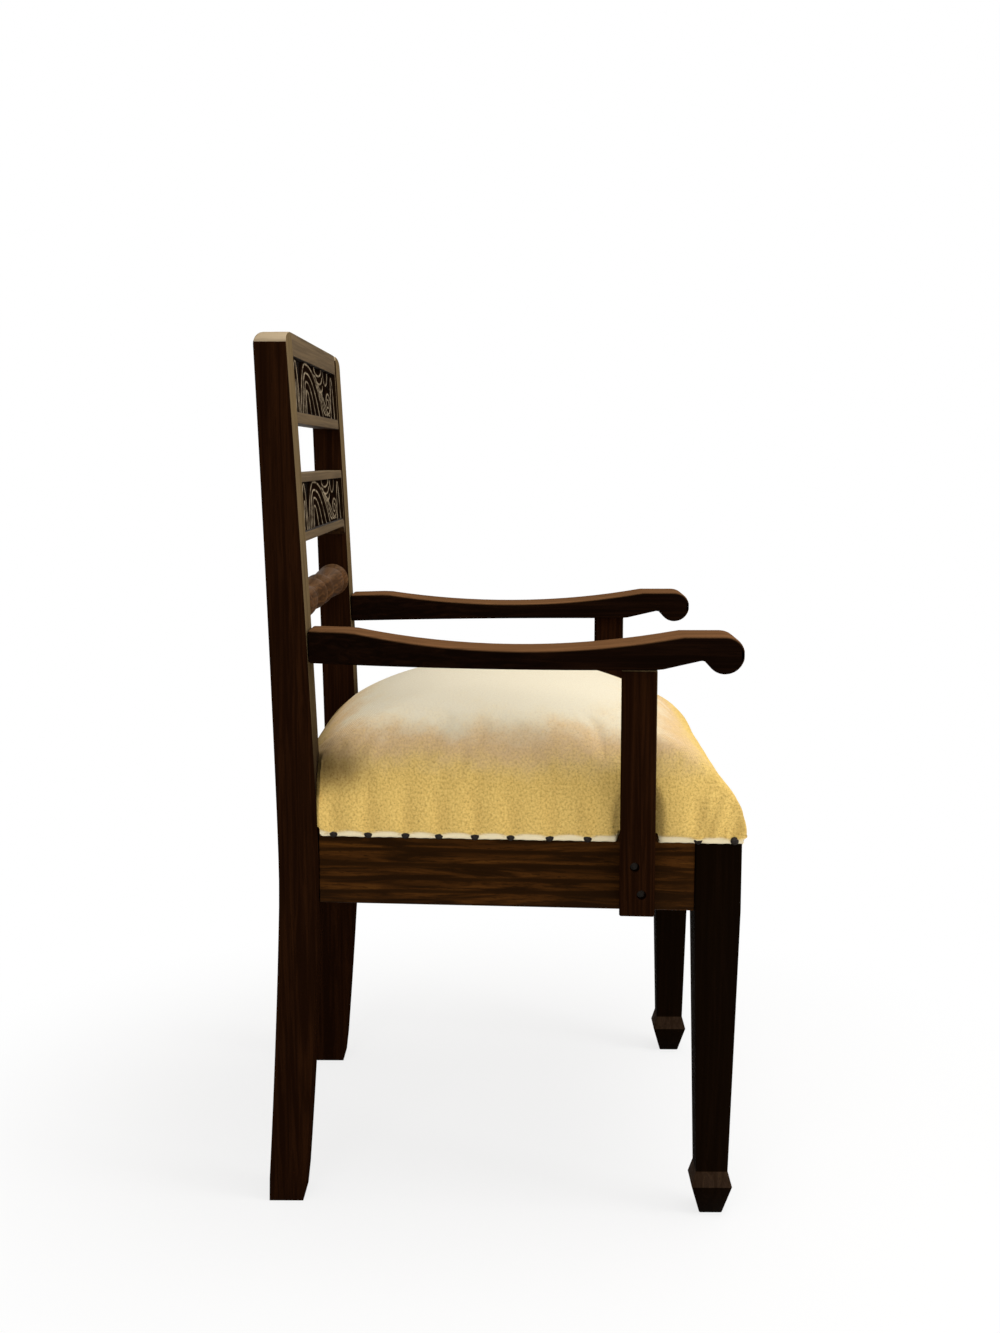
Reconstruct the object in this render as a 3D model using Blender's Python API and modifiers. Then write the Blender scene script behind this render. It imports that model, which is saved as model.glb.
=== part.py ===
"""Colonial armchair: a dark hardwood frame with a sprung and overstuffed seat.

Units are metres and +Z is up. The chair faces -Y, the sitter's right is at -X,
and the origin is on the floor at the centre of the chair's outline.
"""

import math

import bmesh
import bpy
from mathutils import Matrix, Vector

PARTS = "colonial_armchair"
CUTTERS = "cutters"
SIDES = {"right": -1, "left": 1}

# Overall sizes and clearances
DEPTH = 0.506
BACK_HEIGHT = 0.934
FIT = 0.0003
EDGE_EASE = 0.002
REVEAL = 0.001

# Back posts: outline seen from the side, and stance seen from the front
FOOT_SPREAD = 0.4414
BACK_SPLAY = 0.02
POST_WIDTH = 0.044
POST_DEPTH_FOOT = 0.039
POST_DEPTH_KNEE = 0.0425
POST_DEPTH_TOP = 0.033
KNEE_HEIGHT = 0.37
KNEE_FORWARD = 0.0195
TOP_FORWARD = 0.005
KNEE_ROUNDING = 0.03
POST_BEND = 0.25
POST_STEPS = 10
SHOULDER_LENGTH = 0.06
SHOULDER_DROP = 0.011
SHOULDER_STEPS = 6

# Rails of the back
CREST_HEIGHT = 0.093
CREST_PANEL_FROM = 0.012
CREST_PANEL_HEIGHT = 0.057
MIDDLE_GAP = 0.052
MIDDLE_HEIGHT = 0.0715
MIDDLE_PANEL_FROM = 0.010
MIDDLE_PANEL_HEIGHT = 0.052
BACK_RAIL_THICK = 0.024
BACK_RAIL_REVEAL = 0.0015
PANEL_SUNK = 0.005
PANEL_MARGIN = 0.004
PANEL_CUT_PROUD = 0.004
BACK_TENON_LENGTH = 0.016
BACK_TENON_THICK = 0.010
BACK_TENON_HEIGHT = 0.040

# Turned rail of the back
TURNED_DROP = 0.0685
TURNED_CORE = 0.011
TURNED_SWELL = 0.008
TURNED_SWELL_AT = 0.68
TURNED_SWELL_REACH = 0.36
TURNED_BEAD = 0.0075
TURNED_BEADS = (0.155, 0.93)
TURNED_BEAD_REACH = 0.11
TURNED_TENON_RADIUS = 0.009
TURNED_TENON_LENGTH = 0.016
TURNED_STEPS = 60
TURNED_SIDES = 14

# Front legs
FRONT_SPREAD = 0.511
LEG_SIZE = 0.048
LEG_ANKLE = 0.034
SPADE_TIP = 0.024
SPADE_WIDE = 0.043
SPADE_WIDE_HEIGHT = 0.033
SPADE_NECK_HEIGHT = 0.049
ROUNDEL_HEIGHT = 0.2865
ROUNDEL_RADIUS = 0.0135
ROUNDEL_RISE = 0.0025
ROUNDEL_SIDES = 20

# Seat rails
RAIL_BOTTOM = 0.338
RAIL_TOP = 0.420
RAIL_THICK = 0.026
REBATE_WIDE = 0.012
REBATE_HIGH = 0.007
SEAT_TENON_LENGTH = 0.019
SEAT_TENON_THICK = 0.010
SEAT_TENON_HEIGHT = 0.050
TENON_ROOT = 0.008

# Arms and arm posts
ARM_BOTTOM = 0.594
ARM_TOP = 0.629
ARM_DIP = 0.015
ARM_DIP_AT = -0.0163
ARM_DIP_REACH = 0.168
ARM_SPREAD = 0.566
ARM_WIDTH_BACK = 0.043
ARM_WIDTH_FRONT = 0.058
ARM_EASE_LENGTH = 0.30
SCROLL_RADIUS = 0.0195
SCROLL_REACH = 0.0069
SCROLL_NECK = 0.0215
SCROLL_NECK_DROP = 0.0053
ARM_RISE_FROM = 0.066
ARM_STEPS = 8
SCROLL_STEPS = 14
ARM_TENON_LENGTH = 0.018
ARM_TENON_WIDE = 0.014
ARM_TENON_HIGH = 0.018
ARM_POST_WIDE = 0.0365
ARM_POST_THICK = 0.026
ARM_POST_AT = 0.084
POST_TENON_WIDE = 0.018
POST_TENON_THICK = 0.012
POST_TENON_LENGTH = 0.012

# Screws
SCREW_HEAD_RADIUS = 0.004
SCREW_HEAD_LENGTH = 0.003
SCREW_RADIUS = 0.0022
SCREW_LENGTH = 0.036
SCREW_COUNTERBORE = 0.0048
SCREW_SUNK = 0.006
SCREW_SIDES = 12
ARM_SCREW_LOW = 0.023
ARM_SCREW_RISE = 0.029
ARM_SCREW_STAGGER = 0.0036
BLOCK_SCREW_LENGTH = 0.020

# Corner blocks
BLOCK_REACH = 0.050
BLOCK_BOTTOM = 0.350
BLOCK_HEIGHT = 0.036

# Webbing
STRAP_WIDE = 0.050
STRAP_THICK = 0.0018
STRAP_SPACING = 0.105
STRAP_COUNT = 3
STRAP_TUCK = 0.010
STRAP_WEAVE = 0.0013

# Springs
SPRING_WIRE = 0.0035
SPRING_END_RADIUS = 0.038
SPRING_WAIST_RADIUS = 0.027
SPRING_TURNS = 5
SPRING_POINTS = 9
SPRING_EVENNESS = 0.35

# Upholstery
COVER = 0.0018
HEM_HEIGHT = 0.410
SEAT_CROWN = 0.557
SEAT_POWER = 2.1
SEAT_SIDE_POWER = 3.0
SEAT_TILT = 0.035
SEAT_CORNER = 0.004
SEAT_CORNER_TOP = 0.15
CANVAS = 0.0015
CANVAS_CROWN = 0.470
CANVAS_POWER = 8.0
CANVAS_INSET = 0.010
CUSHION_CLEAR = 0.001
DOME_STEPS = 9
SEAT_CORNER_STEPS = 4
SEAT_SIDE_STEPS = 5

FINISHES = {
    "dark_teak": ((0.016, 0.008, 0.004), 0.45, 0.0),
    "brown_teak": ((0.060, 0.026, 0.009), 0.45, 0.0),
    "linen": ((0.62, 0.47, 0.24), 0.9, 0.0),
    "jute": ((0.36, 0.27, 0.16), 0.95, 0.0),
    "coir": ((0.20, 0.12, 0.06), 0.95, 0.0),
    "steel": ((0.30, 0.29, 0.28), 0.4, 1.0),
}


def bend(share):
    """Share of a post's set reached at a share of its height: steeper to the end."""
    return share * (1 - POST_BEND + POST_BEND * share)


def run(distance, length):
    """Smooth share of a length, starting softly at the knee."""
    if distance <= 0:
        return 0.0
    return (math.hypot(distance, KNEE_ROUNDING) - KNEE_ROUNDING) / (
        math.hypot(length, KNEE_ROUNDING) - KNEE_ROUNDING
    )


def post_edge(height, foot, knee, top):
    """Y of one edge of a back post at a height."""
    above = bend(run(height - KNEE_HEIGHT, BACK_HEIGHT - KNEE_HEIGHT))
    below = bend(run(KNEE_HEIGHT - height, KNEE_HEIGHT))
    return knee + (top - knee) * above + (foot - knee) * below


def post_back(height):
    """Y of a post's back edge."""
    foot = DEPTH / 2
    return post_edge(height, foot, foot - KNEE_FORWARD, foot - TOP_FORWARD)


def post_front(height):
    """Y of a post's front edge."""
    foot = DEPTH / 2
    return post_edge(
        height,
        foot - POST_DEPTH_FOOT,
        foot - KNEE_FORWARD - POST_DEPTH_KNEE,
        foot - TOP_FORWARD - POST_DEPTH_TOP,
    )


def post_outer(height):
    """Half of the outer width across the back posts at a height."""
    return FOOT_SPREAD / 2 + BACK_SPLAY * height


def post_inner(height):
    """Half of the clear width between the back posts at a height."""
    return post_outer(height) - POST_WIDTH


RAIL_MIDDLE = (RAIL_BOTTOM + RAIL_TOP) / 2
RAIL_HEIGHT = RAIL_TOP - RAIL_BOTTOM
CREST_BOTTOM = BACK_HEIGHT - CREST_HEIGHT
MIDDLE_BOTTOM = CREST_BOTTOM - MIDDLE_GAP - MIDDLE_HEIGHT
TURNED_HEIGHT = MIDDLE_BOTTOM - TURNED_DROP
LEG_X = FRONT_SPREAD / 2 - LEG_SIZE / 2
LEG_Y = -(DEPTH / 2 - COVER - FIT - LEG_SIZE / 2)
LEG_BACK = LEG_Y + LEG_SIZE / 2
LEG_INNER = LEG_X - LEG_SIZE / 2
FRONT_RAIL_OUTER = LEG_Y - LEG_SIZE / 2 + REVEAL
FRONT_RAIL_INNER = FRONT_RAIL_OUTER + RAIL_THICK
BACK_RAIL_OUTER = min(post_back(RAIL_BOTTOM), post_back(KNEE_HEIGHT), post_back(RAIL_TOP)) - REVEAL
BACK_RAIL_INNER = BACK_RAIL_OUTER - RAIL_THICK
SIDE_RAIL_END = min(post_front(RAIL_BOTTOM), post_front(KNEE_HEIGHT), post_front(RAIL_TOP)) - FIT
SIDE_RAIL_FRONT = FRONT_SPREAD / 2 - REVEAL
SIDE_RAIL_BACK = post_outer(RAIL_MIDDLE) - REVEAL
SIDE_SLOPE = (SIDE_RAIL_FRONT - SIDE_RAIL_BACK) / (SIDE_RAIL_END - LEG_BACK)
SIDE_ANGLE = math.atan(SIDE_SLOPE)
SIDE_RAIL_ACROSS = RAIL_THICK / math.cos(SIDE_ANGLE)
ARM_BACK = min(post_front(ARM_BOTTOM), post_front(ARM_TOP)) - FIT
ARM_POST_Y = LEG_Y + ARM_POST_AT
STRAP_HIGH = RAIL_BOTTOM + REBATE_HIGH - FIT - STRAP_THICK / 2
STRAP_LOW = STRAP_HIGH - 2 * STRAP_WEAVE
STRAP_TOP = STRAP_HIGH + STRAP_THICK / 2
SEAT_FRONT = -DEPTH / 2
SEAT_BACK = BACK_RAIL_OUTER + FIT + COVER
SEAT_MIDDLE = (SEAT_FRONT + SEAT_BACK) / 2
CANVAS_REST = RAIL_TOP + FIT
CANVAS_LAP = COVER + FIT + RAIL_THICK - CANVAS_INSET


def side_rail_outer(depth):
    """Half of the outer width across the side rails at a depth."""
    return SIDE_RAIL_FRONT - SIDE_SLOPE * (depth - LEG_BACK)


def side_rail_inner(depth):
    """Half of the clear width between the side rails at a depth."""
    return side_rail_outer(depth) - SIDE_RAIL_ACROSS


def seat_half(depth):
    """Half width of the seat cover at its hem, just clear of the legs' sides."""
    return FRONT_SPREAD / 2 + FIT + COVER - SIDE_SLOPE * (depth - LEG_BACK)


def collection(name):
    """Find or make a collection of the scene."""
    group = bpy.data.collections.get(name)
    if group is None:
        group = bpy.data.collections.new(name)
        bpy.context.scene.collection.children.link(group)
    return group


def reset_scene():
    """Remove the scene's objects."""
    for obj in list(bpy.data.objects):
        bpy.data.objects.remove(obj, do_unlink=True)


def material(name):
    """Find or make a finish."""
    found = bpy.data.materials.get(name)
    if found is not None:
        return found
    colour, roughness, metallic = FINISHES[name]
    made = bpy.data.materials.new(name)
    made.use_nodes = True
    shader = made.node_tree.nodes["Principled BSDF"]
    shader.inputs["Base Color"].default_value = (*colour, 1)
    shader.inputs["Roughness"].default_value = roughness
    shader.inputs["Metallic"].default_value = metallic
    made.diffuse_color = (*colour, 1)
    return made


def make_piece(name, data, finish, location=(0, 0, 0), rotation=(0, 0, 0)):
    """Add one piece of the chair."""
    obj = bpy.data.objects.new(name, data)
    obj.location = location
    obj.rotation_euler = rotation
    data.materials.append(material(finish))
    collection(PARTS).objects.link(obj)
    return obj


def make_cutter(name, data, location=(0, 0, 0), rotation=(0, 0, 0)):
    """Add a shape that only cuts, trims or joins the pieces."""
    obj = bpy.data.objects.new(name, data)
    obj.location = location
    obj.rotation_euler = rotation
    obj.hide_render = True
    obj.display_type = "WIRE"
    collection(CUTTERS).objects.link(obj)
    return obj


def boolean(piece, other, operation):
    """Cut a piece with another shape, or trim or join it to one."""
    modifier = piece.modifiers.new(operation.lower(), "BOOLEAN")
    modifier.operation = operation
    modifier.object = other


def ease_edges(piece):
    """Take the sharpness off a piece's edges."""
    modifier = piece.modifiers.new("eased_edges", "BEVEL")
    modifier.width = EDGE_EASE
    modifier.segments = 1
    modifier.limit_method = "ANGLE"
    modifier.angle_limit = math.radians(35)


def box_mesh(size):
    """A box centred on its origin."""
    mesh = bpy.data.meshes.new("box")
    shape = bmesh.new()
    bmesh.ops.create_cube(shape, size=1, matrix=Matrix.Diagonal((*size, 1)))
    shape.to_mesh(mesh)
    shape.free()
    return mesh


def outline_mesh(points, thickness):
    """A flat outline in X and Y with a thickness along Z, centred on it."""
    curve = bpy.data.curves.new("outline", "CURVE")
    curve.dimensions = "2D"
    curve.fill_mode = "BOTH"
    curve.extrude = thickness / 2
    spline = curve.splines.new("POLY")
    spline.points.add(len(points) - 1)
    for place, (across, along) in zip(spline.points, points):
        place.co = (across, along, 0, 1)
    spline.use_cyclic_u = True
    holder = bpy.data.objects.new("outline", curve)
    bpy.context.scene.collection.objects.link(holder)
    evaluated = holder.evaluated_get(bpy.context.evaluated_depsgraph_get())
    mesh = bpy.data.meshes.new_from_object(evaluated)
    bpy.data.objects.remove(holder)
    bpy.data.curves.remove(curve)
    shape = bmesh.new()
    shape.from_mesh(mesh)
    bmesh.ops.remove_doubles(shape, verts=shape.verts, dist=1e-6)
    bmesh.ops.dissolve_limit(shape, angle_limit=1e-4, verts=shape.verts, edges=shape.edges)
    bmesh.ops.recalc_face_normals(shape, faces=shape.faces)
    shape.to_mesh(mesh)
    shape.free()
    return mesh


def side_outline(points, thickness):
    """An outline drawn in Y and Z, thick along X."""
    mesh = outline_mesh(points, thickness)
    mesh.transform(Matrix(((0, 0, 1, 0), (1, 0, 0, 0), (0, 1, 0, 0), (0, 0, 0, 1))))
    return mesh


def front_outline(points, thickness):
    """An outline drawn in X and Z, thick along Y."""
    mesh = outline_mesh(points, thickness)
    mesh.transform(Matrix(((1, 0, 0, 0), (0, 0, -1, 0), (0, 1, 0, 0), (0, 0, 0, 1))))
    return mesh


def loft_mesh(rings):
    """A closed skin over rings of equally many points, capped at both ends."""
    mesh = bpy.data.meshes.new("loft")
    shape = bmesh.new()
    rows = [[shape.verts.new(point) for point in ring] for ring in rings]
    for row, following in zip(rows, rows[1:]):
        for index in range(len(row)):
            beside = (index + 1) % len(row)
            shape.faces.new((row[index], row[beside], following[beside], following[index]))
    shape.faces.new(rows[0])
    shape.faces.new(rows[-1])
    bmesh.ops.recalc_face_normals(shape, faces=shape.faces)
    shape.to_mesh(mesh)
    shape.free()
    return mesh


def turn_profile(obj, sides):
    """Turn an object's profile about its own Z axis."""
    modifier = obj.modifiers.new("turned", "SCREW")
    modifier.axis = "Z"
    modifier.angle = math.tau
    modifier.steps = sides
    modifier.render_steps = sides
    modifier.use_merge_vertices = True
    modifier.merge_threshold = 0.00001


def profile_mesh(points):
    """A line of radius and height points, from the top down."""
    mesh = bpy.data.meshes.new("profile")
    vertices = [(radius, 0, height) for radius, height in points]
    edges = [(index, index + 1) for index in range(len(points) - 1)]
    mesh.from_pydata(vertices, edges, [])
    return mesh


def smooth(obj):
    """Shade a round piece smooth, with its sharp edges kept."""
    obj.data.shade_smooth()
    obj.data.set_sharp_from_angle(angle=math.radians(40))


def splay(mesh, side=None):
    """Lean a mesh outward with the back posts, both ways unless a side is given."""
    for vertex in mesh.vertices:
        outward = side or math.copysign(1, vertex.co.x)
        vertex.co.x += outward * BACK_SPLAY * vertex.co.z


def mortise_and_tenon(piece, host, centre, size, turn=0.0):
    """Add a tenon to a piece and cut its mortise in the host."""
    rotation = (0, 0, turn)
    tenon = make_cutter(f"{piece.name}_tenon", box_mesh(size), centre, rotation)
    boolean(piece, tenon, "UNION")
    grown = [length + 2 * FIT for length in size]
    mortise = make_cutter(f"{host.name}_mortise", box_mesh(grown), centre, rotation)
    boolean(host, mortise, "DIFFERENCE")


def post_outline():
    """Side outline of a back post, up its front edge and down its back edge."""
    heights = [KNEE_HEIGHT * step / POST_STEPS for step in range(POST_STEPS)]
    upper = BACK_HEIGHT - KNEE_HEIGHT
    heights += [KNEE_HEIGHT + upper * step / POST_STEPS for step in range(POST_STEPS + 1)]
    front = [(post_front(height), height) for height in heights]
    back = [(post_back(height), height) for height in reversed(heights)]
    return front + back


def shoulder_outline():
    """Front outline of the whole back, with its shoulders eased down in ellipses."""
    half = post_outer(BACK_HEIGHT)
    right = []
    for step in range(SHOULDER_STEPS + 1):
        angle = math.pi / 2 * step / SHOULDER_STEPS
        across = half - SHOULDER_LENGTH * (1 - math.sin(angle))
        right.append((across, BACK_HEIGHT - SHOULDER_DROP * (1 - math.cos(angle))))
    outside = half + POST_WIDTH
    right += [(outside, BACK_HEIGHT - SHOULDER_DROP), (outside, -POST_WIDTH)]
    return right + [(-across, height) for across, height in reversed(right)]


def make_back_posts(shoulders):
    """Two back posts, each in one length from its foot to its top."""
    posts = {}
    for name, side in SIDES.items():
        mesh = side_outline(post_outline(), POST_WIDTH)
        splay(mesh, side)
        centre = side * (FOOT_SPREAD / 2 - POST_WIDTH / 2)
        post = make_piece(f"back_post_{name}", mesh, "dark_teak", (centre, 0, 0))
        ease_edges(post)
        boolean(post, shoulders, "INTERSECT")
        posts[name] = post
    return posts


def raked_slab(low, high, front_set, thickness):
    """Side outline of a slab that follows the rake of the posts' front edges."""
    front_low = post_front(low) + front_set
    front_high = post_front(high) + front_set
    return [
        (front_low, low),
        (front_low + thickness, low),
        (front_high + thickness, high),
        (front_high, high),
    ]


def make_panel_rail(name, bottom, height, panel_from, panel_height, posts):
    """A rail of the back with a sunk panel, tenoned into both posts."""
    top = bottom + height
    half = post_inner(0) - FIT
    mesh = side_outline(raked_slab(bottom, top, BACK_RAIL_REVEAL, BACK_RAIL_THICK), 2 * half)
    splay(mesh)
    rail = make_piece(name, mesh, "brown_teak")
    panel_low = bottom + panel_from
    panel_high = panel_low + panel_height
    sunk = raked_slab(
        panel_low,
        panel_high,
        BACK_RAIL_REVEAL - PANEL_CUT_PROUD,
        PANEL_SUNK + PANEL_CUT_PROUD,
    )
    panel = side_outline(sunk, 2 * (half - PANEL_MARGIN))
    splay(panel)
    boolean(rail, make_cutter(f"{name}_panel", panel), "DIFFERENCE")
    middle = (bottom + top) / 2
    depth = post_front(middle) + BACK_RAIL_REVEAL + (BACK_RAIL_THICK + PANEL_SUNK) / 2
    length = BACK_TENON_LENGTH + TENON_ROOT
    for side_name, side in SIDES.items():
        start = post_inner(middle) - TENON_ROOT
        centre = (side * (start + length / 2), depth, middle)
        size = (length, BACK_TENON_THICK, BACK_TENON_HEIGHT)
        mortise_and_tenon(rail, posts[side_name], centre, size)
    return rail


def bump(distance, reach):
    """A rounded swelling that ends softly at its reach."""
    if abs(distance) >= reach:
        return 0.0
    return math.cos(math.pi / 2 * distance / reach) ** 2


def turned_radius(share):
    """Radius of the turned rail at a share of its half length."""
    radius = TURNED_CORE + TURNED_SWELL * bump(share - TURNED_SWELL_AT, TURNED_SWELL_REACH)
    beads = max(bump(share - bead, TURNED_BEAD_REACH) for bead in TURNED_BEADS)
    return radius + TURNED_BEAD * beads


def make_turned_rail(posts):
    """The ring-turned rail, with a round tenon at each end."""
    half = post_inner(TURNED_HEIGHT) - BACK_SPLAY * TURNED_CORE - FIT
    reach = half + TURNED_TENON_LENGTH
    profile = [(0, reach), (TURNED_TENON_RADIUS, reach), (TURNED_TENON_RADIUS, half)]
    for step in range(TURNED_STEPS + 1):
        height = half * (1 - 2 * step / TURNED_STEPS)
        profile.append((turned_radius(abs(height) / half), height))
    profile += [(TURNED_TENON_RADIUS, -half), (TURNED_TENON_RADIUS, -reach), (0, -reach)]
    depth = (post_front(TURNED_HEIGHT) + post_back(TURNED_HEIGHT)) / 2
    lying = (0, math.pi / 2, 0)
    place = (0, depth, TURNED_HEIGHT)
    rail = make_piece("turned_rail", profile_mesh(profile), "brown_teak", place, lying)
    turn_profile(rail, TURNED_SIDES)
    smooth(rail)
    hole = reach + FIT
    bore = TURNED_TENON_RADIUS + FIT
    cutter = profile_mesh([(0, hole), (bore, hole), (bore, -hole), (0, -hole)])
    mortise = make_cutter("turned_rail_mortise", cutter, place, lying)
    turn_profile(mortise, TURNED_SIDES)
    for post in posts.values():
        boolean(post, mortise, "DIFFERENCE")
    return rail


def square_ring(size, height):
    """Corners of a square section at a height."""
    half = size / 2
    return [(-half, -half, height), (half, -half, height), (half, half, height), (-half, half, height)]


def leg_size(height):
    """Width of a front leg's taper at a height above its foot."""
    share = (height - SPADE_NECK_HEIGHT) / (RAIL_BOTTOM - SPADE_NECK_HEIGHT)
    return LEG_ANKLE + (LEG_SIZE - LEG_ANKLE) * share


def make_front_legs():
    """Two tapered front legs with spade feet and a carved roundel in front."""
    legs = {}
    for name, side in SIDES.items():
        mesh = loft_mesh([
            square_ring(SPADE_TIP, 0),
            square_ring(SPADE_WIDE, SPADE_WIDE_HEIGHT),
            square_ring(LEG_ANKLE, SPADE_NECK_HEIGHT),
            square_ring(LEG_SIZE, RAIL_BOTTOM),
            square_ring(LEG_SIZE, RAIL_TOP),
        ])
        leg = make_piece(f"front_leg_{name}", mesh, "dark_teak", (side * LEG_X, LEG_Y, 0))
        disc = bpy.data.meshes.new("roundel")
        shape = bmesh.new()
        bmesh.ops.create_cone(
            shape,
            cap_ends=True,
            segments=ROUNDEL_SIDES,
            radius1=ROUNDEL_RADIUS,
            radius2=ROUNDEL_RADIUS,
            depth=leg_size(ROUNDEL_HEIGHT) / 2 + ROUNDEL_RISE,
        )
        shape.to_mesh(disc)
        shape.free()
        depth = LEG_Y - (leg_size(ROUNDEL_HEIGHT) / 2 + ROUNDEL_RISE) / 2
        place = (side * LEG_X, depth, ROUNDEL_HEIGHT)
        boolean(leg, make_cutter(f"{leg.name}_roundel", disc, place, (math.pi / 2, 0, 0)), "UNION")
        legs[name] = leg
    return legs


def cut_rebate(rail, mesh, location=(0, 0, 0)):
    """Cut the rebate for the webbing along a rail's lower inner edge."""
    boolean(rail, make_cutter(f"{rail.name}_rebate", mesh, location), "DIFFERENCE")


def make_side_rails(legs, posts):
    """Two side seat rails between the front legs and the back posts."""
    rails = {}
    front = LEG_BACK + FIT
    back = SIDE_RAIL_END
    for name, side in SIDES.items():
        plan = [
            (side * side_rail_outer(front), front),
            (side * side_rail_outer(back), back),
            (side * side_rail_inner(back), back),
            (side * side_rail_inner(front), front),
        ]
        rail = make_piece(
            f"side_seat_rail_{name}",
            outline_mesh(plan, RAIL_HEIGHT),
            "brown_teak",
            (0, 0, RAIL_MIDDLE),
        )
        rebate = [
            (side * (side_rail_inner(depth) + inward), depth)
            for depth, inward in (
                (front - FIT, REBATE_WIDE),
                (back + FIT, REBATE_WIDE),
                (back + FIT, -REBATE_WIDE),
                (front - FIT, -REBATE_WIDE),
            )
        ]
        cut_rebate(rail, outline_mesh(rebate, 2 * REBATE_HIGH), (0, 0, RAIL_BOTTOM))
        length = SEAT_TENON_LENGTH + TENON_ROOT
        size = (SEAT_TENON_THICK, length, SEAT_TENON_HEIGHT)
        across = side * (side_rail_outer(front) - SIDE_RAIL_ACROSS / 2)
        centre = (across, front + TENON_ROOT - length / 2, RAIL_MIDDLE)
        mortise_and_tenon(rail, legs[name], centre, size)
        across = side * (side_rail_outer(back) - SIDE_RAIL_ACROSS / 2)
        centre = (across, back - TENON_ROOT + length / 2, RAIL_MIDDLE)
        mortise_and_tenon(rail, posts[name], centre, size)
        rails[name] = rail
    return rails


def make_cross_rail(name, half, outer, inner, hosts, leaning):
    """The front or back seat rail, tenoned into the uprights at its ends."""
    mesh = box_mesh((2 * half, abs(outer - inner), RAIL_HEIGHT))
    mesh.transform(Matrix.Translation((0, (outer + inner) / 2, RAIL_MIDDLE)))
    lean = 0.0
    if leaning:
        splay(mesh)
        lean = BACK_SPLAY * RAIL_MIDDLE
    rail = make_piece(name, mesh, "brown_teak")
    rebate = box_mesh((2 * (half + POST_WIDTH), 2 * REBATE_WIDE, 2 * REBATE_HIGH))
    cut_rebate(rail, rebate, (0, inner, RAIL_BOTTOM))
    length = SEAT_TENON_LENGTH + TENON_ROOT
    for side_name, side in SIDES.items():
        centre = (side * (half + lean - TENON_ROOT + length / 2), (outer + inner) / 2, RAIL_MIDDLE)
        size = (length, SEAT_TENON_THICK, SEAT_TENON_HEIGHT)
        mortise_and_tenon(rail, hosts[side_name], centre, size)
    return rail


def arm_top(depth):
    """Height of an arm's top, dished along an arc."""
    share = (depth - ARM_DIP_AT) / ARM_DIP_REACH
    return ARM_TOP - ARM_DIP * max(0.0, 1 - share * share)


def arm_side_outline():
    """Side outline of an arm: dished top, scrolled front, flat underside."""
    scroll_y = -DEPTH / 2 + SCROLL_REACH + SCROLL_RADIUS
    scroll_z = ARM_TOP - SCROLL_RADIUS
    points = [(ARM_BACK, ARM_BOTTOM), (ARM_BACK, ARM_TOP)]
    for step in range(2 * ARM_STEPS + 1):
        depth = ARM_DIP_AT + ARM_DIP_REACH * (1 - step / ARM_STEPS)
        points.append((depth, arm_top(depth)))
    end = math.pi + math.asin(SCROLL_NECK_DROP / SCROLL_NECK)
    for step in range(SCROLL_STEPS + 1):
        angle = math.pi / 2 + end * step / SCROLL_STEPS
        across = SCROLL_RADIUS * math.cos(angle)
        points.append((scroll_y + across, scroll_z + SCROLL_RADIUS * math.sin(angle)))
    points.append((scroll_y + SCROLL_NECK, scroll_z - SCROLL_NECK_DROP))
    points.append((scroll_y + ARM_RISE_FROM, ARM_BOTTOM))
    return points


def arm_plan(depth):
    """Outer edge and width of an arm at a depth: it bows out and widens to the front."""
    share = min(1.0, max(0.0, (ARM_BACK - depth) / ARM_EASE_LENGTH))
    ease = 1 - (1 - share) ** 2
    back = post_outer(ARM_BOTTOM) - REVEAL
    outer = back + (ARM_SPREAD / 2 - back) * ease
    return outer, ARM_WIDTH_BACK + (ARM_WIDTH_FRONT - ARM_WIDTH_BACK) * ease


def make_arms(posts):
    """Two scrolled arms, tenoned into the back posts."""
    arms = {}
    tip = -DEPTH / 2
    overrun = ARM_BACK + POST_WIDTH
    depths = [ARM_BACK - ARM_EASE_LENGTH * step / ARM_STEPS for step in range(ARM_STEPS + 1)]
    depths = [overrun] + depths + [tip - ARM_WIDTH_FRONT]
    for name, side in SIDES.items():
        outer = [(side * arm_plan(depth)[0], depth) for depth in depths]
        inner = [(side * (arm_plan(depth)[0] - arm_plan(depth)[1]), depth) for depth in reversed(depths)]
        mesh = side_outline(arm_side_outline(), ARM_SPREAD)
        arm = make_piece(f"arm_{name}", mesh, "dark_teak", (side * ARM_SPREAD / 2, 0, 0))
        height = 2 * (ARM_TOP - ARM_BOTTOM)
        plan = make_cutter(f"{arm.name}_plan", outline_mesh(outer + inner, 2 * height), (0, 0, ARM_TOP))
        boolean(arm, plan, "INTERSECT")
        edge, width = arm_plan(ARM_BACK)
        length = ARM_TENON_LENGTH + TENON_ROOT
        centre = (
            side * (edge - width / 2),
            ARM_BACK - TENON_ROOT + length / 2,
            (ARM_BOTTOM + ARM_TOP) / 2,
        )
        mortise_and_tenon(arm, posts[name], centre, (ARM_TENON_WIDE, length, ARM_TENON_HIGH))
        arms[name] = arm
    return arms


def rail_side_frame(side, depth):
    """Point on a side rail's outer face, its outward direction and its turn."""
    point = Vector((side * side_rail_outer(depth), depth, 0))
    outward = Vector((side * math.cos(SIDE_ANGLE), math.sin(SIDE_ANGLE), 0))
    return point, outward, side * SIDE_ANGLE


def screw_profile(length):
    """Profile of a screw, its head's top at the origin."""
    return [
        (0, 0),
        (SCREW_HEAD_RADIUS, 0),
        (SCREW_HEAD_RADIUS, -SCREW_HEAD_LENGTH),
        (SCREW_RADIUS, -SCREW_HEAD_LENGTH),
        (SCREW_RADIUS, -length),
        (0, -length),
    ]


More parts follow.
